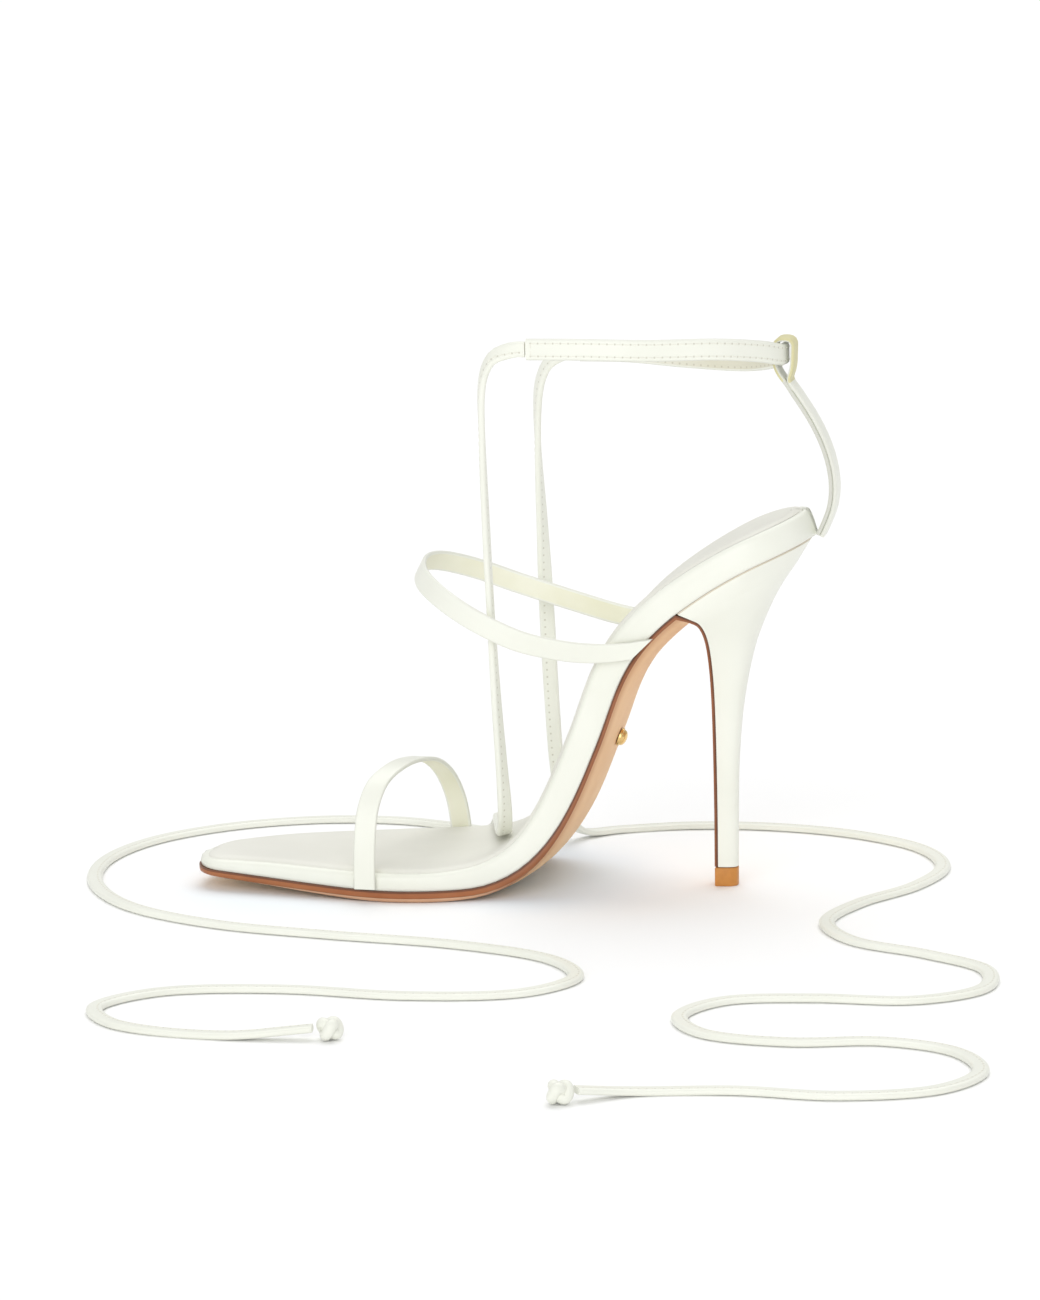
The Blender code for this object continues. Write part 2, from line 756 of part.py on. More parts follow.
def make_knot(name, rows, finish):
    """Overhand knot at the end of a tie, as a plain rounded lump on the floor."""
    path = Path([row[:3] for row in rows])
    end = Vector(path.at(path.length)[:3])
    forward = path.tangent(path.length)
    forward.z = 0.0
    forward.normalize()
    centre = end + forward * (GAP + KNOT_RADIUS + 0.5)
    side = Vector((0.0, 0.0, 1.0)).cross(forward)
    loops = []
    end_turn = math.radians(KNOT_END_ANGLE)
    for i in range(KNOT_RINGS):
        turn = end_turn + (math.pi - 2 * end_turn) * i / (KNOT_RINGS - 1)
        reach = -math.cos(turn) / math.cos(end_turn) * KNOT_RADIUS
        loop = []
        for j in range(KNOT_SIDES):
            roll = 2 * math.pi * j / KNOT_SIDES
            out = side * math.cos(roll) + Vector((0.0, 0.0, KNOT_FLATNESS * math.sin(roll)))
            loop.append(centre + forward * reach + out * math.sin(turn) * KNOT_RADIUS)
        loops.append(loop)
    return add_object(name, loft(loops), finish)


def main():
    for old in list(bpy.data.objects):
        bpy.data.objects.remove(old)
    upper = material("ivory_leather", (0.83, 0.84, 0.76), 0.35)
    lining = material("sock_leather", (0.76, 0.755, 0.69), 0.5)
    tan = material("tan_sole_leather", (0.7, 0.45, 0.26), 0.45)
    amber = material("amber_rubber", (0.55, 0.23, 0.045), 0.4)
    gold = material("gold_metal", (0.8, 0.57, 0.24), 0.25, 1.0)
    make_outsole(tan)
    make_footbed(upper)
    make_insole(lining)
    make_heel(upper)
    make_heel_tip(amber)
    make_stud(gold)
    make_toe_strap(upper)
    make_instep_strap(upper)
    make_heel_strap(upper)
    make_ankle_band(upper)
    for name, rows in (("tie_inner", TIE_INNER), ("tie_outer", TIE_OUTER)):
        make_tie(name, rows, upper)
        make_knot(name + "_knot", rows, upper)


main()
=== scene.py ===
"""Looks of an ivory stiletto sandal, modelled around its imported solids.

Metres in Blender. Tables and sizes below are in millimetres: the toe points to -X, the inner side
of the foot to -Y, and the origin lies on the floor under the ball of the foot.
"""
import math
from bisect import bisect_right

import bmesh
import bpy
from mathutils import Matrix, Vector


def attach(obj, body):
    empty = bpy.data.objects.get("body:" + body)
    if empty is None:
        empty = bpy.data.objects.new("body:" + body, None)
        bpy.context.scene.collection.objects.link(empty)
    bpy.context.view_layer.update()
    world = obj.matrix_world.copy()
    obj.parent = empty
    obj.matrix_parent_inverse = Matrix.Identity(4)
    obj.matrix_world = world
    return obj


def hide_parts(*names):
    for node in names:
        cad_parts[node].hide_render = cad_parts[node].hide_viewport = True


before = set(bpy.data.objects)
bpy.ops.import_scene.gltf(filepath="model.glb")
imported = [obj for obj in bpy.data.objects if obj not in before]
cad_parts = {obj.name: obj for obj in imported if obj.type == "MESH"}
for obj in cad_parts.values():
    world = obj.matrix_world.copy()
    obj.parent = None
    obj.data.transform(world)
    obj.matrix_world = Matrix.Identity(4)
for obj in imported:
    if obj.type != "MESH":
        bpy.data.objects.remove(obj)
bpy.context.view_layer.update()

MM = 0.001

# Camera at the photograph's angle.
AZIMUTH = math.radians(12.0)
ELEVATION = math.radians(11.0)
ROLL = math.radians(-0.75)
CAMERA_DISTANCE = 1900.0
AIM = (23.6, 0.6, 73.9)
SENSOR = 36.0
LENS = 165.46
CLIP = (0.05, 60.0)  # metres

# Studio light: the white surround's strength, and for each broad light where it comes from.
SURROUND = 0.6
LIGHTS = (  # name, direction, strength, spread in degrees
    ("overhead_light", (0.0, 0.45, 0.89), 1.22, 55.0),
    ("front_light", (0.0, -0.94, 0.3), 1.36, 60.0),
)

# Floor: its side in metres, and bluish tints painted under arch and toe against the warm light the
# tan sole reflects there.
FLOOR_SIDE = 30.0
FLOOR_PAINTED_TINTS = (  # middle, near radius, far radius, tone
    ((30.0, 0.0, 0.0), 10.0, 60.0, (0.76, 0.87, 0.97, 1.0)),
    ((-50.0, -35.0, 0.0), 12.0, 48.0, (0.895, 0.94, 0.967, 1.0)),
)

# Sole, sock, heel and stud. The sole's edge has two plies on the forefoot, and one dark tone
# from where the shank starts.
GAP = 0.3
CONTACT = 0.08
FLOOR_GAP = 0.1
PLY_DEPTH = 1.9
SHANK_START = 84.0
SHANK_RISE = 26.0
SEAT_LINE = 0.45
TOE_ROUND = 9.0
TOE_SQUARENESS = 2.5
SEAT_ROUND = 25.0
RIM_RADIUS = 1.8
SOCK_INSET = 2.4
SOCK_THICKNESS = 0.8
SOCK_EDGE = (  # inset, share of the height
    (0.0, 0.0),
    (0.25, 0.35),
    (0.9, 0.7),
    (2.0, 0.95),
    (3.0, 1.0),
)
BREAST_ALONG = 200.0
CORNER_RUN = 5.0
CORNER_SETBACK = 1.0
FLAP_THICKNESS = 0.9
FLAP_INSET = 0.2
FLAP_BELLY = 2.6
FLAP_BELLY_END = 80.0
SEAT_INSET = 0.4
TIP_HEIGHT = 6.0
TIP_FRONT = 86.7
TIP_BACK = 93.8
TIP_HALF_WIDTH = 3.6
TIP_SQUARENESS = 3.0
TIP_BEVEL = 0.35
STUD_ALONG = 143.5
STUD_RADIUS = 3.0
STUD_HEIGHT = 2.4
STUD_SIDES = 32
STUD_DOME = (0.86, 0.4)  # shares of its radius and height where the dome begins
STUD_FOOT = (  # shares of its radius and height
    (1.0, 0.0),
    (1.0, 0.16),
    (0.97, 0.3),
    (0.88, 0.34),
)

# Straps, band, ties and stitches.
STRAP_WIDTH = 7.0
STRAP_THICKNESS = 1.4
HEEL_STRAP_WIDTH = 8.4
HEEL_STRAP_THICKNESS = 1.3
INSTEP_ALONG = 168.0
INSTEP_FOOT_ALONG = 177.0
INSTEP_TUCK = 6.0
BAND_WIDTH = 6.8
BAND_THICKNESS = 2.2
TIE_WIDTH = 5.0
TIE_THICKNESS = 2.0
CORD_POINT_SPACING = 2.5 * TIE_WIDTH
TURNED_EDGE = 0.8
LOOP_TURNED_EDGE = -0.3
STITCH_RADIUS = 0.2
STITCH_RUN = 1.3
STITCH_END = 0.3
STITCH_DIP = 0.22
STITCH_PITCH = 2.4
STITCH_SINK = 0.06
SEAM_MARGIN = 1.6
BAND_SEAM = 2.0
TIE_SEAM = 0.9
BAND_END_STITCHES = 2
LOOP_STITCHES = 3
KNOT_RADIUS = 4.2
KNOT_FLATNESS = 0.8
KNOT_OFFSET = 0.5
KNOT_STRAND = 1.75
KNOT_DEPTH = 0.62
KNOT_STEPS = 72

# Distances between cross-sections, and how many the heel has.
TANGENT_REACH = 0.5
SOLE_SPACING = 3.0
TOE_STRAP_SPACING = 1.6
INSTEP_STRAP_SPACING = 1.8
HEEL_STRAP_SPACING = 0.9
BAND_SPACING = 1.8
TIE_SPACING = 2.4
HEEL_ROWS = 40
FLAP_ROWS = 36
HEEL_SECTION_STEPS = 22
HEEL_SECTION_EASE = 0.9
TOP_SHARES = (0.1, 0.2, 0.3, 0.4, 0.5, 0.6, 0.7, 0.8, 0.9)
UNDERSIDE_SHARES = (0.15, 0.3, 0.4, 0.5, 0.6, 0.7, 0.85)

PROFILE = (  # x, z of the footbed's upper surface, toe to heel
    (-76.4, 9.6),
    (-50.0, 9.8),
    (-20.0, 9.1),
    (4.0, 9.2),
    (17.0, 11.4),
    (26.0, 17.0),
    (34.0, 28.5),
    (43.5, 50.5),
    (52.0, 73.0),
    (61.0, 87.0),
    (75.0, 100.0),
    (95.0, 112.8),
    (116.5, 122.0),
)
OUTLINE = (  # along, inner_y, outer_y
    (0.0, -32.0, -9.0),
    (20.0, -35.0, 5.4),
    (40.0, -38.6, 15.6),
    (62.0, -41.6, 25.4),
    (78.0, -40.0, 30.4),
    (90.0, -35.6, 31.0),
    (104.0, -29.6, 29.4),
    (122.0, -25.0, 26.8),
    (148.0, -22.6, 24.8),
    (172.0, -22.6, 24.4),
    (198.0, -24.6, 25.0),
    (224.0, -25.8, 25.8),
    (250.0, -25.4, 25.4),
)
BUILD_UP = (  # along, edge, sole, dish, tuck, overhang, belly
    (0.0, 2.6, 1.7, 0.0, 0.3, 0.5, 0.0),
    (26.0, 4.4, 2.3, 0.2, 0.3, 0.5, 0.0),
    (56.0, 5.2, 3.2, 0.3, 0.3, 0.6, 0.0),
    (80.0, 5.4, 3.4, 0.3, 0.3, 0.6, 0.6),
    (94.0, 6.8, 2.8, 0.3, 0.5, 0.3, 2.0),
    (118.0, 8.6, 1.5, 0.2, 0.8, -0.6, 2.4),
    (150.0, 9.0, 1.1, 0.2, 1.0, -1.0, 2.0),
    (172.0, 9.0, 1.1, 0.3, 1.1, -1.0, 2.9),
    (190.0, 9.0, 1.1, 0.5, 1.2, -1.0, 3.9),
    (220.0, 9.0, 1.1, 1.0, 1.8, -1.2, 4.4),
    (250.0, 8.8, 1.1, 0.8, 2.4, -1.2, 4.4),
)
HEEL = (  # front_z, front_x, back_x, back_z, half_width, squareness
    (6.3, 87.8, 93.8, 6.3, 3.5, 3.0),
    (22.0, 87.8, 93.9, 22.0, 3.6, 3.0),
    (38.0, 87.7, 94.2, 38.0, 4.0, 2.8),
    (54.0, 87.6, 95.3, 54.0, 5.2, 2.6),
    (66.0, 87.5, 97.2, 67.0, 7.4, 2.5),
    (75.0, 87.3, 100.0, 79.0, 10.6, 2.4),
    (81.0, 87.0, 103.6, 88.4, 14.2, 2.3),
    (85.2, 86.3, 107.0, 95.4, 17.6, 2.2),
    (88.0, 84.9, 110.0, 100.2, 20.2, 2.15),
    (89.5, 82.4, 112.6, 104.0, 21.8, 2.1),
)
TOE_STRAP = (  # x, y, z
    (-18.2, -42.4, 4.4),
    (-18.2, -42.5, 10.0),
    (-18.0, -42.0, 20.0),
    (-17.4, -39.6, 29.5),
    (-15.6, -33.2, 36.6),
    (-12.2, -22.0, 39.8),
    (-9.4, -9.0, 39.4),
    (-7.2, 6.0, 36.0),
    (-5.4, 18.0, 29.4),
    (-4.0, 26.6, 20.0),
    (-3.2, 30.3, 10.5),
    (-3.0, 30.7, 4.2),
)
INSTEP_STRAP = (  # x, y, z
    (67.3, -24.1, 80.0),
    (61.0, -24.4, 79.0),
    (53.5, -25.6, 78.6),
    (43.5, -28.8, 79.8),
    (29.8, -31.0, 83.0),
    (15.4, -29.0, 88.8),
    (3.4, -22.4, 94.4),
    (-5.2, -11.0, 98.4),
    (-8.0, 2.0, 100.6),
    (-5.2, 15.0, 99.6),
    (4.2, 24.8, 95.6),
    (17.2, 29.0, 90.4),
    (36.6, 28.4, 84.8),
    (52.0, 26.2, 81.2),
    (61.0, 26.2, 80.2),
    (67.8, 26.2, 80.8),
)
HEEL_STRAP = (  # x, y, z
    (120.8, 0.0, 113.8),
    (122.2, 0.0, 116.8),
    (123.4, 0.0, 119.8),
    (124.6, 0.0, 123.6),
    (125.0, 0.0, 127.5),
    (124.9, 0.0, 131.5),
    (124.2, 0.0, 135.9),
    (122.9, 0.0, 140.5),
    (121.1, 0.0, 145.0),
    (118.7, 0.0, 149.7),
    (116.0, 0.0, 154.1),
    (113.3, 0.0, 158.1),
    (110.6, 0.0, 162.2),
)
HEEL_LOOP = (  # x, y, z
    (108.0, 0.0, 164.6),
    (106.8, 0.0, 167.4),
    (106.6, 0.0, 170.4),
    (106.7, 0.0, 172.8),
    (106.9, 0.0, 174.2),
    (107.9, 0.0, 175.25),
    (109.6, 0.0, 175.5),
    (111.3, 0.0, 175.25),
    (112.3, 0.0, 174.2),
    (112.4, 0.0, 172.4),
    (112.3, 0.0, 169.8),
    (112.2, 0.0, 167.4),
    (111.8, 0.0, 165.2),
)
ANKLE_BAND = (  # x, y, z
    (34.0, -33.2, 175.3),
    (50.0, -34.0, 175.6),
    (72.0, -32.4, 175.4),
    (92.0, -25.6, 175.2),
    (104.4, -13.4, 173.0),
    (108.7, -5.0, 171.0),
    (109.6, 0.0, 170.7),
    (108.7, 5.0, 170.2),
    (104.4, 13.4, 167.4),
    (92.0, 25.0, 164.4),
    (72.0, 30.6, 164.4),
    (54.0, 31.8, 165.6),
    (38.0, 31.0, 165.8),
)
NEAR = (0.0, -1.0, 0.0)
TOEWARD = (-1.0, -0.2, 0.0)
FAR = (0.0, 1.0, 0.0)
UP = (0.0, 0.0, 1.0)
LYING = TIE_THICKNESS / 2 + FLOOR_GAP
KNOT_CENTRE = KNOT_RADIUS * KNOT_FLATNESS + FLOOR_GAP
TIE_INNER = (  # x, y, z, face
    (33.5, -33.2, 175.3, NEAR),
    (29.5, -33.2, 175.1, NEAR),
    (22.6, -31.8, 172.0, (-0.6, -0.8, 0.5)),
    (18.8, -28.6, 163.6, (-1.0, -0.5, 0.2)),
    (18.0, -25.8, 147.0, TOEWARD),
    (18.6, -24.6, 118.0, (-1.0, 0.0, 0.0)),
    (19.6, -24.0, 90.0, (-1.0, 0.0, 0.0)),
    (20.8, -23.0, 62.0, (-1.0, 0.2, 0.0)),
    (21.8, -21.0, 40.0, (-0.9, 0.4, 0.1)),
    (21.8, -17.0, 25.0, (-0.7, 0.6, 0.4)),
    (20.0, -9.6, 17.4, (-0.4, 0.4, 0.85)),
    (17.2, 1.0, 14.6, (-0.2, 0.1, 1.0)),
    (14.4, 12.0, 13.6, UP),
    (11.8, 22.6, 13.2, UP),
    (9.8, 32.0, 12.6, UP),
    (7.6, 41.0, 9.2, (0.0, 0.4, 0.9)),
    (4.0, 49.6, 4.6, (0.0, 0.3, 0.95)),
    (-2.6, 57.6, 1.8, UP),
    (-13.0, 64.4, LYING, UP),
    (-34.0, 70.0, LYING, UP),
    (-60.0, 67.0, LYING, UP),
    (-86.0, 53.0, LYING, UP),
    (-106.0, 29.0, LYING, UP),
    (-114.0, -2.0, LYING, UP),
    (-108.0, -35.0, LYING, UP),
    (-88.0, -64.0, LYING, UP),
    (-56.0, -82.0, LYING, UP),
    (-18.0, -90.0, LYING, UP),
    (22.0, -96.0, LYING, UP),
    (54.0, -109.0, LYING, UP),
    (67.0, -131.0, LYING, UP),
    (54.0, -152.0, LYING, UP),
    (22.0, -160.0, LYING, UP),
    (-16.0, -158.0, LYING, UP),
    (-50.0, -166.0, LYING, UP),
    (-65.0, -187.0, LYING, UP),
    (-52.0, -207.0, LYING, UP),
    (-20.0, -213.0, LYING, UP),
    (6.0, -210.0, KNOT_CENTRE, UP),
)
TIE_OUTER = (  # x, y, z, face
    (37.5, 31.0, 165.8, NEAR),
    (33.5, 31.0, 165.5, NEAR),
    (27.2, 32.2, 161.4, (-0.6, -0.8, 0.5)),
    (23.8, 33.6, 152.8, (-1.0, -0.7, 0.2)),
    (23.0, 35.4, 135.0, TOEWARD),
    (23.8, 37.4, 105.0, (-0.9, 0.5, 0.0)),
    (24.6, 39.4, 75.0, (-0.3, 1.0, 0.0)),
    (25.4, 41.4, 48.0, FAR),
    (26.4, 44.0, 26.0, FAR),
    (28.2, 49.0, 10.0, (0.2, 1.0, 0.6)),
    (32.0, 57.0, 2.6, (0.2, 0.3, 1.0)),
    (43.0, 68.0, LYING, UP),
    (65.0, 77.0, LYING, UP),
    (92.0, 79.0, LYING, UP),
    (120.0, 72.0, LYING, UP),
    (144.0, 55.0, LYING, UP),
    (155.0, 30.0, LYING, UP),
    (150.0, 2.0, LYING, UP),
    (136.0, -24.0, LYING, UP),
    (130.0, -50.0, LYING, UP),
    (142.0, -73.0, LYING, UP),
    (166.0, -86.0, LYING, UP),
    (186.0, -102.0, LYING, UP),
    (188.0, -126.0, LYING, UP),
    (170.0, -142.0, LYING, UP),
    (141.0, -144.0, LYING, UP),
    (116.0, -151.0, LYING, UP),
    (106.0, -171.0, LYING, UP),
    (117.0, -190.0, LYING, UP),
    (142.0, -195.0, LYING, UP),
    (168.0, -190.0, LYING, UP),
    (190.0, -198.0, LYING, UP),
    (200.0, -219.0, LYING, UP),
    (190.0, -240.0, LYING, UP),
    (164.0, -250.0, LYING, UP),
    (136.0, -249.0, LYING, UP),
    (110.0, -254.0, LYING, UP),
    (94.0, -264.0, KNOT_CENTRE, UP),
)


# Curves and tables

def smooth_row(rows, at):
    """Read a table at a value of its first column, smoothly between its rows."""
    keys = [row[0] for row in rows]
    i = min(max(bisect_right(keys, at) - 1, 0), len(rows) - 2)
    span = keys[i + 1] - keys[i]
    t = min(max((at - keys[i]) / span, 0.0), 1.0)

    def slope(k, column):
        before = max(k - 1, 0)
        after = min(k + 1, len(rows) - 1)
        return (rows[after][column] - rows[before][column]) / (keys[after] - keys[before])

    values = []
    for column in range(1, len(rows[0])):
        start, end = rows[i][column], rows[i + 1][column]
        lead = slope(i, column) * span
        trail = slope(i + 1, column) * span
        values.append(
            (2 * t ** 3 - 3 * t ** 2 + 1) * start
            + (t ** 3 - 2 * t ** 2 + t) * lead
            + (3 * t ** 2 - 2 * t ** 3) * end
            + (t ** 3 - t ** 2) * trail
        )
    return values


class Path:
    """Smooth curve through points, read by the distance along it."""

    def __init__(self, points, samples=24):
        knots = [0.0]
        for a, b in zip(points, points[1:]):
            knots.append(knots[-1] + (Vector(b[:3]) - Vector(a[:3])).length)
        rows = [(k, *p) for k, p in zip(knots, points)]
        count = samples * (len(points) - 1)
        self.rows = [smooth_row(rows, knots[-1] * i / count) for i in range(count + 1)]
        self.along = [0.0]
        for a, b in zip(self.rows, self.rows[1:]):
            self.along.append(self.along[-1] + (Vector(b[:3]) - Vector(a[:3])).length)
        self.length = self.along[-1]

    def at(self, along):
        """All columns at a distance along the curve, carried on straight past its ends."""
        i = min(max(bisect_right(self.along, along) - 1, 0), len(self.rows) - 2)
        t = (along - self.along[i]) / (self.along[i + 1] - self.along[i])
        return [a + (b - a) * t for a, b in zip(self.rows[i], self.rows[i + 1])]

    def tangent(self, along):
        before = Vector(self.at(along - TANGENT_REACH)[:3])
        after = Vector(self.at(along + TANGENT_REACH)[:3])
        return (after - before).normalized()


LAST = Path([(x, 0.0, z) for x, z in PROFILE])


def on_last(along, y, height):
    """Bend a flat pattern onto the last: height is measured square to the footbed's surface."""
    tangent = LAST.tangent(along)
    normal = Vector((-tangent.z, 0.0, tangent.x))
    return Vector(LAST.at(along)) + normal * height + Vector((0.0, y, 0.0))


END_ANGLES = [math.radians(angle) for angle in (5, 12, 20, 29, 38, 48, 59, 70, 80, 90)]


def sole_stations(spacing, last_along):
    """Cross-sections close together round the toe, then evenly spaced."""
    stations = [("toe", angle) for angle in END_ANGLES]
    count = round((last_along - TOE_ROUND) / spacing)
    step = (last_along - TOE_ROUND) / count
    return stations + [("run", TOE_ROUND + step * i) for i in range(1, count + 1)]


def footbed_stations(spacing):
    seat = [("seat", angle) for angle in reversed(END_ANGLES)]
    return sole_stations(spacing, LAST.length - SEAT_ROUND)[:-1] + seat


def rim(station, inset):
    """Distance along the last and the inner and outer edge of the outline, drawn in by inset."""
    kind, value = station
    roundness = 1.0
    along = value
    if kind == "toe":
        along = inset + (TOE_ROUND - inset) * (1 - math.cos(value))
        roundness = (1 - math.cos(value) ** TOE_SQUARENESS) ** (1 / TOE_SQUARENESS)
    elif kind == "seat":
        along = LAST.length - inset - (SEAT_ROUND - inset) * (1 - math.cos(value))
        roundness = math.sin(value)
    inner, outer = smooth_row(OUTLINE, along)
    middle = (inner + outer) / 2
    half = ((outer - inner) / 2 - inset) * roundness
    return along, middle - half, middle + half


def build_up(along):
    names = ("edge", "sole", "dish", "tuck", "overhang", "belly")
    return dict(zip(names, smooth_row(BUILD_UP, along)))


# Modelling helpers

def start_fresh():
    bpy.ops.object.select_all(action="DESELECT")


def loft(name, rings):
    """Extrude one closed section from ring to ring; its ends stay as caps.

    Returns the piece and, ring by ring, the indices of its vertices in the ring's own order.
    """
    start_fresh()
    bpy.ops.mesh.primitive_circle_add(vertices=len(rings[0]), fill_type="NGON")
    piece = bpy.context.object
    piece.name = name
    piece.data.name = name
    bpy.ops.object.mode_set(mode="EDIT")
    bpy.ops.mesh.select_all(action="SELECT")
    mesh = bmesh.from_edit_mesh(piece.data)
    ring_verts = list(mesh.verts)
    order = []
    for k, ring in enumerate(rings):
        if k:
            places = [vert.co.copy().freeze() for vert in ring_verts]
            bpy.ops.mesh.extrude_region()
            mesh = bmesh.from_edit_mesh(piece.data)
            raised = {vert.co.copy().freeze(): vert for vert in mesh.verts if vert.select}
            ring_verts = [raised[place] for place in places]
        for vert, point in zip(ring_verts, ring):
            vert.co = point * MM
        mesh.verts.index_update()
        order.append([vert.index for vert in ring_verts])
    bpy.ops.mesh.select_all(action="SELECT")
    bpy.ops.mesh.normals_make_consistent(inside=False)
    bpy.ops.object.mode_set(mode="OBJECT")
    return piece, order


def paint(piece, name, order, values):
    """Keep a number for each place of each ring, for the finishes to read."""
    layer = piece.data.attributes.new(name, "FLOAT", "POINT")
    for indices, row in zip(order, values):
        for index, value in zip(indices, row):
            layer.data[index].value = value


def apply_modifier(piece, kind, **settings):
    modifier = piece.modifiers.new(kind.title(), kind)
    for name, value in settings.items():
        setattr(modifier, name, value)
    bpy.context.view_layer.objects.active = piece
    bpy.ops.object.modifier_apply(modifier=modifier.name)


def dress(piece, finish, slot, *nodes, angle=40.0):
    """Give a finished piece its material, its smooth faces and its place in the model."""
    start_fresh()
    piece.select_set(True)
    bpy.context.view_layer.objects.active = piece
    bpy.ops.object.shade_smooth_by_angle(angle=math.radians(angle))
    piece.data.materials.clear()
    piece.data.materials.append(finish)
    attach(piece, "root")
    if nodes:
        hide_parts(*nodes)
    return piece


# Finishes

# Tones of the leathers, each a darker and a lighter one.
IVORY = ((0.815, 0.825, 0.74, 1.0), (0.845, 0.855, 0.775, 1.0))
LINING = ((0.8, 0.79, 0.61, 1.0), (0.87, 0.865, 0.73, 1.0))
BAND_LINING = ((0.69, 0.67, 0.54, 1.0), (0.75, 0.735, 0.64, 1.0))
# The loop's lining is a darker copy of the yellow lining: painted shade inside the loop.
SHADED_LOOP_LINING = ((0.64, 0.6, 0.33, 1.0), (0.7, 0.66, 0.4, 1.0))


class Wire:
    """A shader socket that Python's operators can work on, each with a Math node of its own."""

    def __init__(self, tree, socket=None):
        self.tree = tree
        self.socket = socket

    def node(self, kind, settings=None, inputs=None, output=0):
        made = self.tree.nodes.new(kind)
        for name, value in (settings or {}).items():
            setattr(made, name, value)
        for name, value in (inputs or {}).items():
            if isinstance(value, Wire):
                self.tree.links.new(value.socket, made.inputs[name])
            else:
                made.inputs[name].default_value = value
        return Wire(self.tree, made.outputs[output])

    def math(self, operation, a, b=0.0, c=0.0):
        return self.node("ShaderNodeMath", {"operation": operation}, {0: a, 1: b, 2: c})

    def __add__(self, other):
        return self.math("ADD", self, other)

    def __sub__(self, other):
        return self.math("SUBTRACT", self, other)

    def __rsub__(self, other):
        return self.math("SUBTRACT", other, self)

    def __mul__(self, other):
        return self.math("MULTIPLY", self, other)

    __radd__ = __add__
    __rmul__ = __mul__

    def mix(self, low, high):
        """Blend two colours by this value."""
        inputs = {"Factor": self, 6: low, 7: high}
        settings = {"data_type": "RGBA", "clamp_factor": True}
        return self.node("ShaderNodeMix", settings, inputs, output=2)

    def step(self, low, high):
        """Rise smoothly from 0 to 1 between two values."""
        inputs = {"Value": self, "From Min": low, "From Max": high}
        return self.node("ShaderNodeMapRange", {"interpolation_type": "SMOOTHSTEP"}, inputs)


def new_finish(name, **constants):
    """Start a material: its shader, and a wire in its tree."""
    made = bpy.data.materials.new(name)
    made.use_nodes = True
    shader = made.node_tree.nodes["Principled BSDF"]
    for socket, value in constants.items():
        shader.inputs[socket.replace("_", " ")].default_value = value
    return made, shader, Wire(made.node_tree)


def connect(wire, shader, **links):
    for socket, value in links.items():
        wire.tree.links.new(value.socket, shader.inputs[socket.replace("_", " ")])


def noise(wire, place, scale, detail=3.0, roughness=0.55):
    inputs = {"Vector": place, "Scale": scale, "Detail": detail, "Roughness": roughness}
    return wire.node("ShaderNodeTexNoise", {"normalize": True}, inputs)


def object_place(wire):
    return wire.node("ShaderNodeTexCoord", output=3)


def attribute(wire, name):
    return wire.node("ShaderNodeAttribute", {"attribute_name": name}, output=2)


def bump(wire, height, strength, distance):
    inputs = {"Height": height, "Strength": strength, "Distance": distance}
    return wire.node("ShaderNodeBump", None, inputs)


def leather_grain(wire, place, cell):
    """Pores and fine creases of smooth leather; cell is the size of one pebble in metres."""
    inputs = {"Vector": place, "Scale": 1 / cell, "Randomness": 1.0}
    pebble = wire.node("ShaderNodeTexVoronoi", {"feature": "SMOOTH_F1"}, inputs)
    return pebble * 0.7 + noise(wire, place, 2.5 / cell, 2.0) * 0.3


def start_ivory(name):
    """What all the ivory leather has in common: its gloss, tone, pores and roughness."""
    constants = {"Specular_IOR_Level": 0.42, "Coat_Weight": 0.1, "Coat_Roughness": 0.25}
    made, shader, wire = new_finish(name, **constants)
    place = object_place(wire)
    tone = noise(wire, place, 35.0, 3.0).step(0.3, 0.7)
    grain = leather_grain(wire, place, 0.0005)
    rough = 0.3 + noise(wire, place, 220.0, 2.0) * 0.1 + grain * 0.06
    return made, shader, wire, tone, grain, rough


def make_ivory(name, half_width=0.0, lining=None, turned_edge=TURNED_EDGE, seam=0.0, rows=2):
    """Smooth ivory leather.

    A lined strip of the given half width has a greyer cut edge, and on the under layer of a doubled
    strip a much greyer one, painted shade; a lining in two tones shows inside its turned edges. A
    seam leaves needle holes at a distance from the middle, on one side or on both, painted darker as
    shade.
    """
    made, shader, wire, tone, grain, rough = start_ivory(name)
    colour = tone.mix(*IVORY)
    height = grain * 0.15
    if lining:
        off_middle = wire.math("ABSOLUTE", attribute(wire, "across"))
        cut_edge = off_middle.step(half_width - 0.55, half_width - 0.1)
        under = attribute(wire, "under_layer")
        # Cut edges greyer: partly the edge's own tone, and on the under layer painted shade.
        colour = (cut_edge * (0.4 + under * 0.5)).mix(colour, (0.6, 0.6, 0.54, 1.0))
        turn = half_width - turned_edge
        turned = off_middle.step(turn - 0.1, turn + 0.1)
        inside = attribute(wire, "lining").step(0.35, 0.65) * (1.0 - turned)
        colour = inside.mix(colour, tone.mix(*lining))
        rough = rough + inside * 0.2
        height = height - inside * 0.5
    if seam:
        across = attribute(wire, "across")
        if rows == 2:
            across = wire.math("ABSOLUTE", across)
        sideways = across - seam
        along = wire.math("PINGPONG", attribute(wire, "stitch"), 0.5) * STITCH_PITCH
        hole = 1.0 - wire.math("SQRT", sideways * sideways + along * along).step(0.15, 0.45)
        furrow = 1.0 - wire.math("ABSOLUTE", sideways).step(0.25, 0.7)
        # Painted shade: the needle holes are darkened as if shadowed inside.
        colour = (hole * 0.6).mix(colour, (0.48, 0.45, 0.36, 1.0))
        height = height - furrow * 0.8 - hole
    connect(wire, shader, Base_Color=colour, Roughness=rough,
            Normal=bump(wire, height, 0.5, 0.0001))
    return made


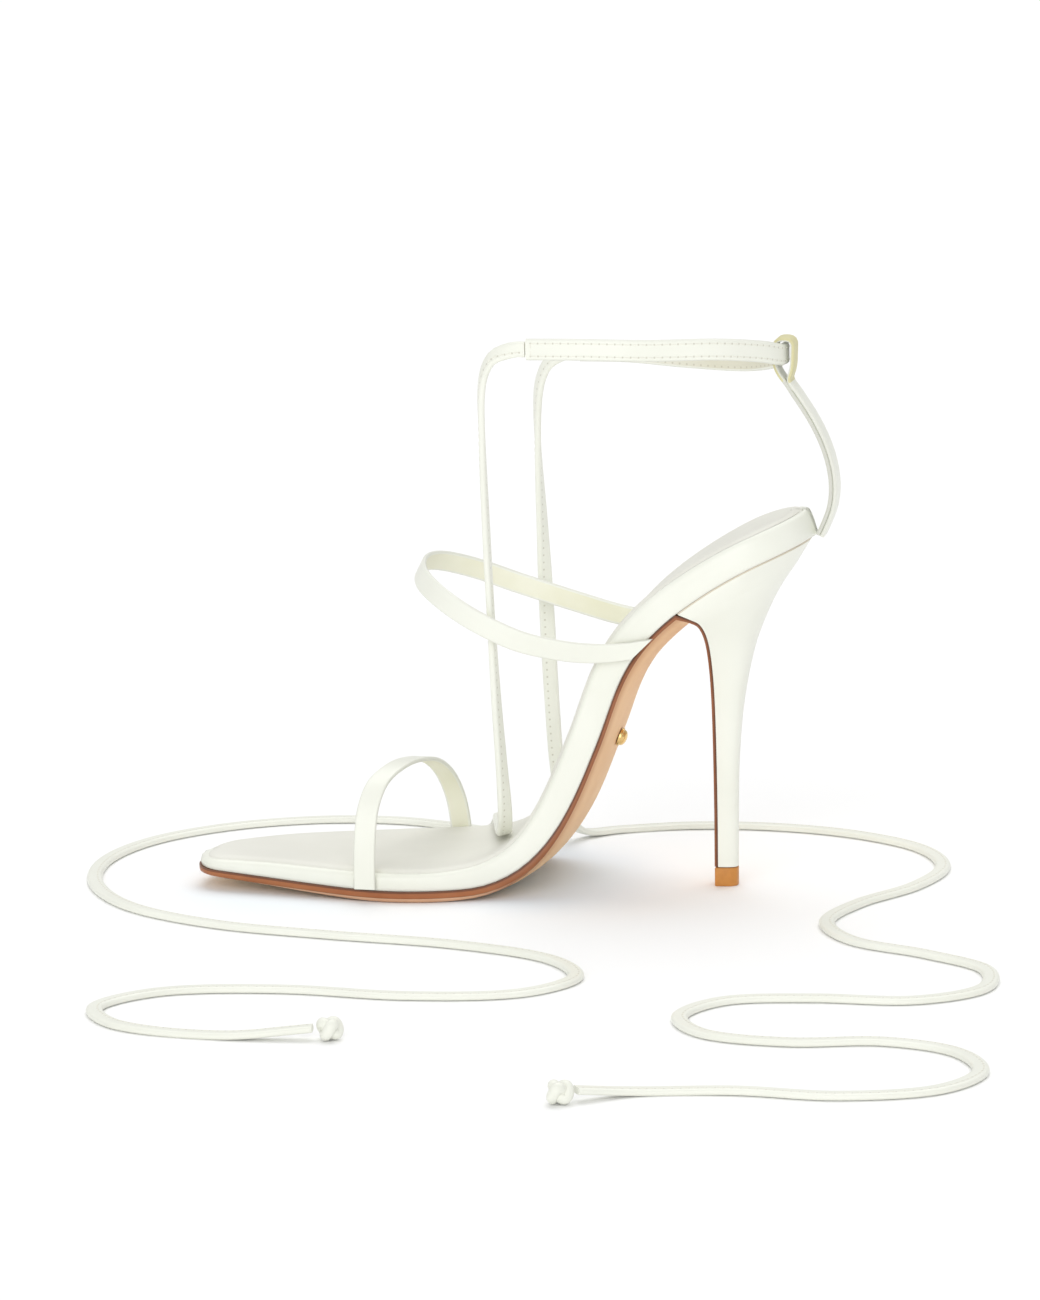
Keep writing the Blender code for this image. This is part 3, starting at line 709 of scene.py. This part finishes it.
def make_heel_cover():
    """Ivory leather of the heel, with a thin browner line where it meets the footbed, partly painted
    shade of that joint.
    """
    made, shader, wire, tone, grain, rough = start_ivory("ivory_heel_cover")
    seat_line_and_shade = attribute(wire, "seat_line_and_shade").step(0.4, 0.6)
    # Painted shade, in part: the seat line turns the heel's top browner and darker at the joint.
    colour = seat_line_and_shade.mix(tone.mix(*IVORY), (0.66, 0.59, 0.48, 1.0))
    connect(wire, shader, Base_Color=colour, Roughness=rough,
            Normal=bump(wire, grain, 0.08, 0.0001))
    return made


def make_sock():
    """Matt sock leather, a little greyer than the straps."""
    made, shader, wire = new_finish("sock_leather", Specular_IOR_Level=0.35)
    place = object_place(wire)
    tone = noise(wire, place, 28.0, 4.0).step(0.3, 0.7)
    grain = leather_grain(wire, place, 0.0007)
    colour = tone.mix((0.745, 0.74, 0.675, 1.0), (0.78, 0.775, 0.71, 1.0))
    rough = 0.5 + grain * 0.12
    connect(wire, shader, Base_Color=colour, Roughness=rough,
            Normal=bump(wire, grain, 0.16, 0.00008))
    return made


def make_sole_leather():
    """Tan sole leather: stained edge in two plies on the forefoot, thin dark edge on the shank."""
    made, shader, wire = new_finish("tan_sole_leather", Specular_IOR_Level=0.4)
    place = object_place(wire)
    border = attribute(wire, "edge")
    edge = border.step(0.55, 0.95)
    stain = border.step(0.0, 0.5)
    depth = attribute(wire, "depth")
    shank = attribute(wire, "shank").step(0.1, 0.9)
    cloud = noise(wire, place, 60.0, 5.0).step(0.3, 0.7)
    fibre = noise(wire, place, 1400.0, 3.0)
    under = cloud.mix((0.82, 0.53, 0.29, 1.0), (0.88, 0.6, 0.35, 1.0))
    under = (stain * 0.7).mix(under, (0.6, 0.29, 0.11, 1.0))
    upper_ply = cloud.mix((0.33, 0.105, 0.033, 1.0), (0.39, 0.14, 0.05, 1.0))
    lower_ply = cloud.mix((0.62, 0.36, 0.22, 1.0), (0.7, 0.44, 0.28, 1.0))
    brown = cloud.mix((0.26, 0.09, 0.033, 1.0), (0.33, 0.12, 0.05, 1.0))
    dark = cloud.mix((0.1, 0.034, 0.016, 1.0), (0.14, 0.05, 0.024, 1.0))
    plies = depth.step(PLY_DEPTH - 0.1, PLY_DEPTH + 0.1).mix(upper_ply, lower_ply)
    # Dark line at the top of the edge: partly the edge's own dark top, partly painted shade of the
    # gap under the footbed.
    top_line_and_shade = 1.0 - depth.step(0.2, 0.45)
    ply_line = 1.0 - wire.math("ABSOLUTE", depth - PLY_DEPTH).step(0.05, 0.2)
    plies = (ply_line * 0.5).mix(plies, dark)
    colour = (top_line_and_shade * 0.8).mix(shank.mix(plies, brown), dark)
    colour = edge.mix(under, colour)
    rough = 0.52 - edge * 0.18 + fibre * 0.1
    connect(wire, shader, Base_Color=colour, Roughness=rough,
            Normal=bump(wire, fibre - ply_line * edge * 0.6, 0.2, 0.00008))
    return made


def make_amber():
    """Moulded amber top piece."""
    made, shader, wire = new_finish("amber_rubber", Specular_IOR_Level=0.4)
    place = object_place(wire)
    speck = noise(wire, place, 700.0, 3.0)
    colour = speck.step(0.3, 0.7).mix((0.53, 0.215, 0.043, 1.0), (0.57, 0.24, 0.05, 1.0))
    connect(wire, shader, Base_Color=colour, Roughness=0.38 + speck * 0.14,
            Normal=bump(wire, speck, 0.1, 0.00008))
    return made


def make_gold():
    """Polished gold-tone metal with hair scratches."""
    made, shader, wire = new_finish("gold_metal", Metallic=1.0)
    place = object_place(wire)
    stretch = wire.node("ShaderNodeMapping", None, {"Vector": place, "Scale": (4.0, 1.0, 0.3)})
    scratch = noise(wire, stretch, 3000.0, 2.0)
    colour = scratch.mix((0.78, 0.53, 0.2, 1.0), (0.86, 0.62, 0.28, 1.0))
    connect(wire, shader, Base_Color=colour, Roughness=0.16 + scratch * 0.14)
    return made


def make_thread():
    """Ivory sewing thread."""
    made, shader, wire = new_finish("ivory_thread", Specular_IOR_Level=0.3)
    place = object_place(wire)
    ply = noise(wire, place, 4000.0, 2.0)
    colour = ply.mix((0.76, 0.75, 0.66, 1.0), (0.84, 0.84, 0.76, 1.0))
    connect(wire, shader, Base_Color=colour, Roughness=0.5 + ply * 0.2)
    return made


def make_floor_finish():
    """White studio floor, with bluish tints painted under arch and toe against the warm light the
    tan sole reflects there.
    """
    made, shader, wire = new_finish("studio_floor", Specular_IOR_Level=0.1)
    place = object_place(wire)
    tone = noise(wire, place, 3.0, 2.0)
    colour = tone.mix((0.965, 0.965, 0.965, 1.0), (0.975, 0.975, 0.975, 1.0))
    for middle, near, far, painted_tint in FLOOR_PAINTED_TINTS:
        inputs = {0: place, 1: tuple(MM * value for value in middle)}
        away = wire.node("ShaderNodeVectorMath", {"operation": "DISTANCE"}, inputs, output=1)
        # Painted light: a bluish tint that cancels the warm light the tan sole reflects onto the
        # floor.
        colour = (1.0 - away.step(MM * near, MM * far)).mix(colour, painted_tint)
    connect(wire, shader, Base_Color=colour, Roughness=0.7 + tone * 0.1)
    return made


# Camera, light and floor

def make_camera():
    back = Vector((
        math.sin(AZIMUTH) * math.cos(ELEVATION),
        -math.cos(AZIMUTH) * math.cos(ELEVATION),
        math.sin(ELEVATION),
    ))
    right = Vector((math.cos(AZIMUTH), math.sin(AZIMUTH), 0.0))
    up = back.cross(right)
    rolled = right * math.cos(ROLL) + up * math.sin(ROLL)
    axes = Matrix((rolled, back.cross(rolled), back)).transposed().to_4x4()
    bpy.ops.object.camera_add()
    camera = bpy.context.object
    camera.matrix_world = Matrix.Translation((Vector(AIM) + back * CAMERA_DISTANCE) * MM) @ axes
    camera.data.sensor_width = SENSOR
    camera.data.lens = LENS
    camera.data.clip_start, camera.data.clip_end = CLIP
    bpy.context.scene.camera = camera


def make_studio():
    """An even white surround with a broad, soft light overhead and another in front."""
    world = bpy.data.worlds.new("studio")
    bpy.context.scene.world = world
    world.use_nodes = True
    background = world.node_tree.nodes["Background"]
    background.inputs["Color"].default_value = (1.0, 1.0, 1.0, 1.0)
    background.inputs["Strength"].default_value = SURROUND
    for name, direction, strength, spread in LIGHTS:
        bpy.ops.object.light_add(type="SUN", location=direction)
        light = bpy.context.object
        light.name = name
        light.data.energy = strength
        light.data.angle = math.radians(spread)
        light.rotation_mode = "QUATERNION"
        light.rotation_quaternion = (-Vector(direction)).to_track_quat("-Z", "Y")
    bpy.context.scene.view_settings.view_transform = "Standard"


def make_floor():
    start_fresh()
    bpy.ops.mesh.primitive_grid_add(x_subdivisions=8, y_subdivisions=8, size=FLOOR_SIDE)
    floor = bpy.context.object
    floor.name = "studio_floor"
    floor.data.materials.append(make_floor_finish())


# Straps, band and ties

class Strip:
    """A flat strip along a route: where it lies, which way it faces and its section."""

    def __init__(self, rows, width, thickness, width_at, outside=1.0):
        self.path = Path(rows)
        self.width = width
        self.thickness = thickness
        self.width_at = width_at
        self.outside = outside

    def frame_at(self, along):
        """Matrix with the strip's run, width and outer face as its axes."""
        place = self.path.at(along)
        tangent = self.path.tangent(along)
        across = self.width_at(tangent, place).normalized()
        face = tangent.cross(across).normalized() * self.outside
        axes = Matrix((tangent, across, face)).transposed().to_4x4()
        return Matrix.Translation(Vector(place[:3])) @ axes

    def section(self):
        """Flat faces and rounded edges, as across and out."""
        round_edge = self.thickness / 2
        flat = self.width / 2 - round_edge
        points = []
        for step in range(7):
            points.append((-flat + 2 * flat * step / 6, round_edge))
        for angle in (65, 35, 0, -35, -65):
            turn = math.radians(angle)
            points.append((flat + round_edge * math.cos(turn), round_edge * math.sin(turn)))
        for step in range(7):
            points.append((flat - 2 * flat * step / 6, -round_edge))
        for angle in (-115, -145, 180, 145, 115):
            turn = math.radians(angle)
            points.append((-flat + round_edge * math.cos(turn), round_edge * math.sin(turn)))
        return points

    def make(self, name, spacing, overrun=0.0, lined=None):
        """Loft the strip, carried on past both ends of its route by the overrun.

        The lining shows along the whole strip, or from one distance to another.
        """
        section = self.section()
        run = self.path.length + 2 * overrun
        count = round(run / spacing)
        stops = [run * i / count - overrun for i in range(count + 1)]
        rings = []
        for along in stops:
            place = self.frame_at(along)
            rings.append([place @ Vector((0.0, across, out)) for across, out in section])
        piece, order = loft(name, rings)
        start, end = lined or (stops[0], stops[-1])
        limit = 0.2 * self.thickness if lined else -0.2 * self.thickness
        inner = [float(out < limit) for across, out in section]
        plain = [0.0] * len(section)
        paint(piece, "lining", order, [inner if start <= along <= end else plain for along in stops])
        under = [[float(along < start)] * len(section) for along in stops]
        paint(piece, "under_layer", order, under)
        paint(piece, "across", order, [[across for across, out in section]] * len(rings))
        stitches = [[self.stitch_number(along)] * len(section) for along in stops]
        paint(piece, "stitch", order, stitches)
        return piece

    def stitch_count(self):
        return round((self.path.length - 2 * SEAM_MARGIN) / STITCH_PITCH)

    def stitch_number(self, along):
        """Count of stitches from the start of the seam: whole numbers lie at the needle holes."""
        run = self.path.length - 2 * SEAM_MARGIN
        return (along - SEAM_MARGIN) / run * self.stitch_count()


def along_x(tangent, place):
    return Vector((1.0, 0.0, 0.0))


def along_y(tangent, place):
    return Vector((0.0, 1.0, 0.0))


def along_shank(tangent, place):
    return LAST.tangent(INSTEP_ALONG)


def upright(tangent, place):
    return Vector((0.0, 0.0, 1.0)) - tangent * tangent.z


def with_face(tangent, place):
    return Vector(place[3:6]).cross(tangent)


def tie_strip(rows):
    return Strip([(x, y, z, *face) for x, y, z, face in rows], TIE_WIDTH, TIE_THICKNESS, with_face)


def model_stitch():
    """One stitch: a short thread that dips into the leather at both ends."""
    start_fresh()
    bpy.ops.mesh.primitive_cylinder_add(
        vertices=6, radius=STITCH_RADIUS * MM, depth=STITCH_RUN * MM
    )
    stitch = bpy.context.object
    bpy.ops.object.mode_set(mode="EDIT")
    bpy.ops.mesh.select_all(action="SELECT")
    bpy.ops.transform.rotate(
        value=math.radians(90), orient_axis="Y", center_override=(0.0, 0.0, 0.0)
    )
    mesh = bmesh.from_edit_mesh(stitch.data)
    for sign in (-1.0, 1.0):
        for face in mesh.faces:
            face.select = face.normal.x * sign > 0.9
        bmesh.update_edit_mesh(stitch.data)
        bpy.ops.mesh.extrude_region_move(
            TRANSFORM_OT_translate={"value": (sign * STITCH_END * MM, 0.0, -STITCH_DIP * MM)}
        )
        bpy.ops.transform.resize(value=(1.0, 0.6, 0.6))
        mesh = bmesh.from_edit_mesh(stitch.data)
    bpy.ops.object.mode_set(mode="OBJECT")
    return stitch


def sew(name, places, finish):
    """Copy the stitch to each place and join the copies."""
    stitch = model_stitch()
    copies = []
    for place in places:
        copy = stitch.copy()
        copy.data = stitch.data.copy()
        shift = Matrix.Translation(place.translation * MM)
        copy.data.transform(shift @ place.to_3x3().to_4x4())
        bpy.context.collection.objects.link(copy)
        copies.append(copy)
    start_fresh()
    for copy in copies:
        copy.select_set(True)
    bpy.context.view_layer.objects.active = copies[0]
    bpy.ops.object.join()
    bpy.data.objects.remove(stitch)
    seam = bpy.context.object
    seam.name = name
    seam.data.name = name
    return dress(seam, finish, "upper_leather")


def cross_row(place, count, thickness):
    """Places of a short row of stitches across a strip."""
    quarter = Matrix.Rotation(math.radians(90), 4, "Z")
    places = []
    for i in range(count):
        across = (i - (count - 1) / 2) * STITCH_PITCH
        shift = Matrix.Translation((0.0, across, thickness / 2 - STITCH_SINK))
        places.append(place @ shift @ quarter)
    return places


def seam_places(strip, across):
    """Places of the stitches of one row along a strip, each between two needle holes."""
    run = strip.path.length - 2 * SEAM_MARGIN
    count = strip.stitch_count()
    places = []
    for i in range(count):
        place = strip.frame_at(SEAM_MARGIN + run * (i + 0.5) / count)
        places.append(place @ Matrix.Translation((0.0, across, strip.thickness / 2 - STITCH_SINK)))
    return places


def trim_at_sole(piece, along):
    """Cut a strap's feet along the footbed's lower edge, where the sole takes them in."""
    top = on_last(along, 0.0, 0.0)
    foot = on_last(along, 0.0, -build_up(along)["edge"])
    start_fresh()
    piece.select_set(True)
    bpy.context.view_layer.objects.active = piece
    bpy.ops.object.mode_set(mode="EDIT")
    bpy.ops.mesh.select_all(action="SELECT")
    bpy.ops.mesh.bisect(plane_co=foot * MM, plane_no=foot - top, use_fill=True, clear_outer=True)
    bpy.ops.object.mode_set(mode="OBJECT")


def make_straps(ivory):
    toe = Strip(TOE_STRAP, STRAP_WIDTH, STRAP_THICKNESS, along_x, outside=-1.0)
    dress(toe.make("toe_strap_leather", TOE_STRAP_SPACING), ivory, "upper_leather", "toe_strap")
    instep = Strip(INSTEP_STRAP, STRAP_WIDTH, STRAP_THICKNESS, along_shank, outside=-1.0)
    piece = instep.make("instep_strap_leather", INSTEP_STRAP_SPACING, INSTEP_TUCK)
    trim_at_sole(piece, INSTEP_FOOT_ALONG)
    dress(piece, ivory, "upper_leather", "instep_strap")


def doubled_rows(middle, loop, shift):
    """Route of a doubled strap: up inside its middle line, round the loop and down outside it."""
    path = Path(middle)
    count = len(middle) - 1
    up = []
    down = []
    for i in range(count + 1):
        along = path.length * i / count
        place = Vector(path.at(along))
        tangent = path.tangent(along)
        outward = Vector((tangent.z, 0.0, -tangent.x))
        up.append(tuple(place - outward * shift))
        down.append(tuple(place + outward * shift))
    return up + list(loop) + down[::-1]


def make_heel_strap(ivory, thread):
    """Two layers sewn together under the loop that holds the band."""
    rows = doubled_rows(HEEL_STRAP, HEEL_LOOP, (HEEL_STRAP_THICKNESS + CONTACT) / 2)
    strip = Strip(rows, HEEL_STRAP_WIDTH, HEEL_STRAP_THICKNESS, along_y, outside=-1.0)
    run = Path(HEEL_STRAP).length
    loop = (run, strip.path.length - run)
    piece = strip.make("heel_strap_leather", HEEL_STRAP_SPACING, lined=loop)
    dress(piece, ivory, "upper_leather", "heel_strap")
    below_loop = strip.frame_at(strip.path.length - run + SEAM_MARGIN)
    turned = Matrix.Rotation(math.radians(180), 4, "X")
    places = cross_row(below_loop @ turned, LOOP_STITCHES, strip.thickness)
    sew("heel_strap_stitches", places, thread)


def make_band(ivory, thread):
    band = Strip(ANKLE_BAND, BAND_WIDTH, BAND_THICKNESS, upright)
    piece = band.make("ankle_band_leather", BAND_SPACING)
    dress(piece, ivory, "upper_leather", "ankle_band")
    places = seam_places(band, -BAND_SEAM) + seam_places(band, BAND_SEAM)
    for along in (SEAM_MARGIN, band.path.length - SEAM_MARGIN):
        places += cross_row(band.frame_at(along), BAND_END_STITCHES, BAND_THICKNESS)
    sew("ankle_band_stitches", places, thread)


def make_tie(name, rows, ivory, thread):
    strip = tie_strip(rows)
    tie = dress(strip.make(name + "_leather", TIE_SPACING), ivory, "upper_leather", name)
    stitches = sew(name + "_stitches", seam_places(strip, TIE_SEAM), thread)
    knot = make_knot(name + "_knot_leather", strip, ivory)
    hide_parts(name + "_knot")
    count = round(strip.path.length / CORD_POINT_SPACING)
    points = [strip.path.at(strip.path.length * i / count)[:3] for i in range(count + 1)]
    tuple(value * MM for value in rows[0][:3])
    [[value * MM for value in point] for point in points]


def make_knot(name, strip, ivory):
    """Overhand knot: a thick strand drawn tight along a knotted loop."""
    end = Vector(strip.path.at(strip.path.length)[:3])
    forward = strip.path.tangent(strip.path.length)
    forward.z = 0.0
    forward.normalize()
    side = Vector((0.0, 0.0, 1.0)).cross(forward)
    centre = end + forward * (GAP + KNOT_RADIUS + KNOT_OFFSET)
    reach = KNOT_RADIUS - KNOT_STRAND
    start_fresh()
    bpy.ops.curve.primitive_bezier_circle_add()
    knot = bpy.context.object
    knot.name = name
    knot.data.splines.clear()
    line = knot.data.splines.new("POLY")
    line.points.add(KNOT_STEPS - 1)
    line.use_cyclic_u = True
    for i, point in enumerate(line.points):
        turn = 2 * math.pi * i / KNOT_STEPS
        a = (math.sin(turn) + 2 * math.sin(2 * turn)) / 3
        b = (math.cos(turn) - 2 * math.cos(2 * turn)) / 3
        c = -math.sin(3 * turn)
        spot = centre + forward * a * reach + side * b * reach
        spot.z += c * reach * KNOT_DEPTH
        point.co = (*(spot * MM), 1.0)
    knot.data.dimensions = "3D"
    knot.data.bevel_depth = KNOT_STRAND * MM
    knot.data.bevel_resolution = 4
    knot.data.use_fill_caps = True
    bpy.ops.object.convert(target="MESH")
    knot = bpy.context.object
    return dress(knot, ivory, "upper_leather")


# Footbed, sock and outsole

def footbed_ring(station):
    along, low, high = rim(station, 0.0)
    size = build_up(along)
    half = (high - low) / 2
    radius = min(RIM_RADIUS, 0.45 * half)
    tuck = min(size["tuck"], 0.45 * half)
    wall = [  # inset, height
        (tuck, -size["edge"]),
        (0.55 * tuck, 0.35 - size["edge"]),
        (0.3 * tuck, 0.85 - size["edge"]),
        (0.1 * tuck, -0.65 * size["edge"]),
        (0.0, -0.5 * size["edge"]),
    ]
    for angle in (0, 18, 36, 54, 72, 90):
        turn = math.radians(angle)
        wall.append((radius * (1 - math.cos(turn)), -radius * (1 - math.sin(turn))))
    edges = [(rim(station, inset), height) for inset, height in wall]
    inner = [on_last(place[0], place[1], height) for place, height in edges]
    outer = [on_last(place[0], place[2], height) for place, height in edges]
    along, low, high = rim(station, radius)
    top = []
    for share in TOP_SHARES:
        dish = size["dish"] * 4 * share * (1 - share)
        top.append(on_last(along, low + (high - low) * share, -dish))
    return inner + top + outer[::-1]


def make_footbed(ivory):
    rings = [footbed_ring(station) for station in footbed_stations(SOLE_SPACING)]
    piece = loft("footbed_leather", rings)[0]
    dress(piece, ivory, "upper_leather", "footbed")


def sock_ring(station):
    rows = []
    for inset, height in SOCK_EDGE:
        along, low, high = rim(station, SOCK_INSET + inset)
        rows.append((along, low, high, height * (GAP + SOCK_THICKNESS)))
    dish = build_up(rows[0][0])["dish"]
    left = [on_last(along, low, height) for along, low, high, height in rows]
    right = [on_last(along, high, height) for along, low, high, height in rows]
    along, low, high, height = rows[-1]
    top = []
    bottom = []
    base = rows[0]
    for share in TOP_SHARES:
        sink = dish * 4 * share * (1 - share)
        top.append(on_last(along, low + (high - low) * share, height - sink))
        bottom.append(on_last(base[0], base[1] + (base[2] - base[1]) * share, base[3] - sink))
    return left + top + right[::-1] + bottom[::-1]


def make_sock_lining(sock):
    rings = [sock_ring(station) for station in footbed_stations(SOLE_SPACING)]
    piece = loft("sock_lining", rings)[0]
    dress(piece, sock, "sock_leather", "insole")


def sheet_section(low, high, thickness, belly):
    """Cross-section of the sole leather: y, depth and how much it belongs to the edge."""
    corner = min(0.45 * thickness, 0.3 * (high - low))
    side = [  # shares of the corner and of the thickness, edge
        (0.0, 0.1, 1.0),
        (0.0, 0.3, 1.0),
        (0.0, 0.55, 1.0),
        (0.25, 0.8, 1.0),
        (0.55, 0.94, 1.0),
        (1.0, 1.0, 1.0),
        (1.25, 1.0, 0.5),
    ]
    section = [(low, CONTACT - GAP, 1.0)]
    section += [(low + corner * a, thickness * b, mark) for a, b, mark in side]
    for share in UNDERSIDE_SHARES:
        depth = thickness + belly * 4 * share * (1 - share)
        section.append((low + (high - low) * share, depth, 0.0))
    section += [(high - corner * a, thickness * b, mark) for a, b, mark in side[::-1]]
    return section + [(high, CONTACT - GAP, 1.0)]


def breast_normal(before, after):
    """Direction square to the heel's front line, away from the heel, on the way down."""
    run = (after - before).normalized()
    return Vector((run.z, 0.0, -run.x))


def heel_rows(count):
    """Sections of the heel from the tip upwards, closer at its top, by the height in front."""
    low, high = HEEL[0][0], HEEL[-1][0]
    heights = [high - (high - low) * (1 - i / count) ** 2 for i in range(count + 1)]
    return [(height, *smooth_row(HEEL, height)) for height in heights]


def flap_belly(height):
    """The belly of the shank runs out down the top of the heel's front."""
    share = max((height - FLAP_BELLY_END) / (HEEL[-1][0] - FLAP_BELLY_END), 0.0)
    return FLAP_BELLY * share ** 2


def make_outsole(leather):
    rings = []
    edges = []
    depths = []
    shanks = []

    def add(place, section, shank):
        rings.append([place(y, depth) for y, depth, mark in section])
        edges.append([mark for y, depth, mark in section])
        depths.append([depth for y, depth, mark in section])
        shanks.append([shank] * len(section))

    for station in sole_stations(SOLE_SPACING, BREAST_ALONG - CORNER_RUN):
        along = rim(station, 0.0)[0]
        size = build_up(along)
        along, low, high = rim(station, -size["overhang"])

        def on_sole(y, depth):
            point = on_last(along, y, -size["edge"] - GAP - depth)
            point.z = max(point.z, 0.0)
            return point

        shank = min(max((along - SHANK_START) / SHANK_RISE, 0.0), 1.0)
        add(on_sole, sheet_section(low, high, size["sole"], size["belly"]), shank)
    along = BREAST_ALONG - CORNER_SETBACK
    size = build_up(along)
    along, low, high = rim(("run", along), -size["overhang"])
    lip = on_last(along, 0.0, -size["edge"] - GAP)
    shank_normal = (lip - on_last(along, 0.0, -size["edge"])).normalized()
    sections = heel_rows(FLAP_ROWS)[::-1]
    fronts = [Vector((row[1], 0.0, row[0])) for row in sections]
    corner_normal = (shank_normal + breast_normal(lip, fronts[0])).normalized()
    mitre = 1 / corner_normal.dot(shank_normal)

    def at_corner(y, depth):
        return lip + corner_normal * depth * mitre + Vector((0.0, y, 0.0))

    add(at_corner, sheet_section(low, high, size["sole"], size["belly"]), 1.0)
    befores = [lip] + fronts[:-1]
    afters = fronts[1:] + fronts[-1:]
    for row, front, before, after in zip(sections, fronts, befores, afters):
        normal = breast_normal(before, after)
        half = row[4] - FLAP_INSET

        def on_breast(y, depth):
            return front + normal * (GAP + depth) + Vector((0.0, y, 0.0))

        add(on_breast, sheet_section(-half, half, FLAP_THICKNESS, flap_belly(front.z)), 1.0)
    piece, order = loft("sole_leather_sheet", rings)
    paint(piece, "edge", order, edges)
    paint(piece, "depth", order, depths)
    paint(piece, "shank", order, shanks)
    dress(piece, leather, "sole_leather", "outsole")


# Heel, tip and stud

SECTION_SHARES = [
    math.sin(math.pi / 2 * i / HEEL_SECTION_STEPS) ** HEEL_SECTION_EASE
    for i in range(HEEL_SECTION_STEPS + 1)
]


def heel_ring(front, back, half_width, squareness):
    """A section from its straight front edge round its back."""
    left = []
    right = []
    for share in SECTION_SHARES:
        point = front + (back - front) * share
        y = half_width * max(1 - share ** squareness, 0.0) ** (1 / squareness)
        left.append(point + Vector((0.0, -y, 0.0)))
        right.append(point + Vector((0.0, y, 0.0)))
    return left + right[-2::-1]


def seat_ring(drop):
    """Top section of the heel, laid against the underside of the footbed or a little lower."""
    left = []
    right = []
    end = LAST.length - build_up(LAST.length)["tuck"] - SEAT_INSET
    for share in SECTION_SHARES:
        along = BREAST_ALONG + (end - BREAST_ALONG) * share
        size = build_up(along)
        inset = size["tuck"] + SEAT_INSET
        inner, outer = smooth_row(OUTLINE, along)
        reach = max(along - (LAST.length - SEAT_ROUND), 0.0) / (SEAT_ROUND - inset)
        half = ((outer - inner) / 2 - inset) * max(1 - reach ** 2, 0.0) ** 0.5
        height = -size["edge"] - CONTACT - drop
        left.append(on_last(along, -half, height))
        right.append(on_last(along, half, height))
    return left + right[-2::-1]


def make_heel(cover):
    rings = []
    for front_z, front_x, back_x, back_z, half, squareness in heel_rows(HEEL_ROWS):
        front = Vector((front_x, 0.0, front_z))
        back = Vector((back_x, 0.0, back_z))
        rings.append(heel_ring(front, back, half, squareness))
    covered = len(rings) + 1
    rings += [seat_ring(1.2 * SEAT_LINE), seat_ring(SEAT_LINE), seat_ring(0.0)]
    piece, order = loft("heel_leather", rings)
    # Rows of the seat line, painted partly as shade where the heel meets the footbed.
    line_and_shade_rows = [[float(k >= covered)] * len(ring) for k, ring in enumerate(rings)]
    paint(piece, "seat_line_and_shade", order, line_and_shade_rows)
    dress(piece, cover, "upper_leather", "heel")


def make_heel_tip(amber):
    """Top piece: drawn as a flat D, extruded, with its edges bevelled."""
    front = Vector((TIP_FRONT, 0.0, 0.0))
    back = Vector((TIP_BACK, 0.0, 0.0))
    ring = heel_ring(front, back, TIP_HALF_WIDTH, TIP_SQUARENESS)
    top = [point + Vector((0.0, 0.0, TIP_HEIGHT)) for point in ring]
    piece = loft("heel_top_piece", [ring, top])[0]
    apply_modifier(piece, "BEVEL", width=TIP_BEVEL * MM, segments=3, limit_method="ANGLE")
    dress(piece, amber, "tip_rubber", "heel_tip")


def make_stud(gold):
    """Domed stud: a profile spun round its axis."""
    size = build_up(STUD_ALONG)
    base = -size["edge"] - GAP - size["sole"] - size["belly"] - GAP
    tangent = LAST.tangent(STUD_ALONG)
    down = Vector((tangent.z, 0.0, -tangent.x))
    side = down.cross(tangent)
    profile = list(STUD_FOOT)
    wide, start = STUD_DOME
    for angle in (0, 20, 38, 54, 68, 80):
        turn = math.radians(angle)
        profile.append((wide * math.cos(turn), start + (1 - start) * math.sin(turn)))
    centre = on_last(STUD_ALONG, 0.0, base)
    rings = []
    for radius, height in profile:
        ring = []
        for i in range(STUD_SIDES):
            turn = 2 * math.pi * i / STUD_SIDES
            out = tangent * math.cos(turn) + side * math.sin(turn)
            ring.append(centre + out * radius * STUD_RADIUS + down * height * STUD_HEIGHT)
        rings.append(ring)
    piece = loft("sole_stud_dome", rings)[0]
    dress(piece, gold, "stud_metal", "sole_stud", angle=50.0)


make_camera()
make_studio()
make_floor()
ivory_plain = make_ivory("ivory_leather")
ivory_lined = make_ivory("ivory_leather_lined", STRAP_WIDTH / 2, LINING)
ivory_heel_strap = make_ivory(
    "ivory_leather_heel_strap", HEEL_STRAP_WIDTH / 2, SHADED_LOOP_LINING, LOOP_TURNED_EDGE
)
ivory_band = make_ivory("ivory_leather_band", BAND_WIDTH / 2, BAND_LINING, seam=BAND_SEAM)
ivory_tie = make_ivory("ivory_leather_tie", TIE_WIDTH / 2, seam=TIE_SEAM, rows=1)
ivory_thread = make_thread()
make_tie("tie_inner", TIE_INNER, ivory_tie, ivory_thread)
make_tie("tie_outer", TIE_OUTER, ivory_tie, ivory_thread)
make_straps(ivory_lined)
make_heel_strap(ivory_heel_strap, ivory_thread)
make_band(ivory_band, ivory_thread)
make_footbed(ivory_plain)
make_sock_lining(make_sock())
make_outsole(make_sole_leather())
make_heel(make_heel_cover())
make_heel_tip(make_amber())
make_stud(make_gold())
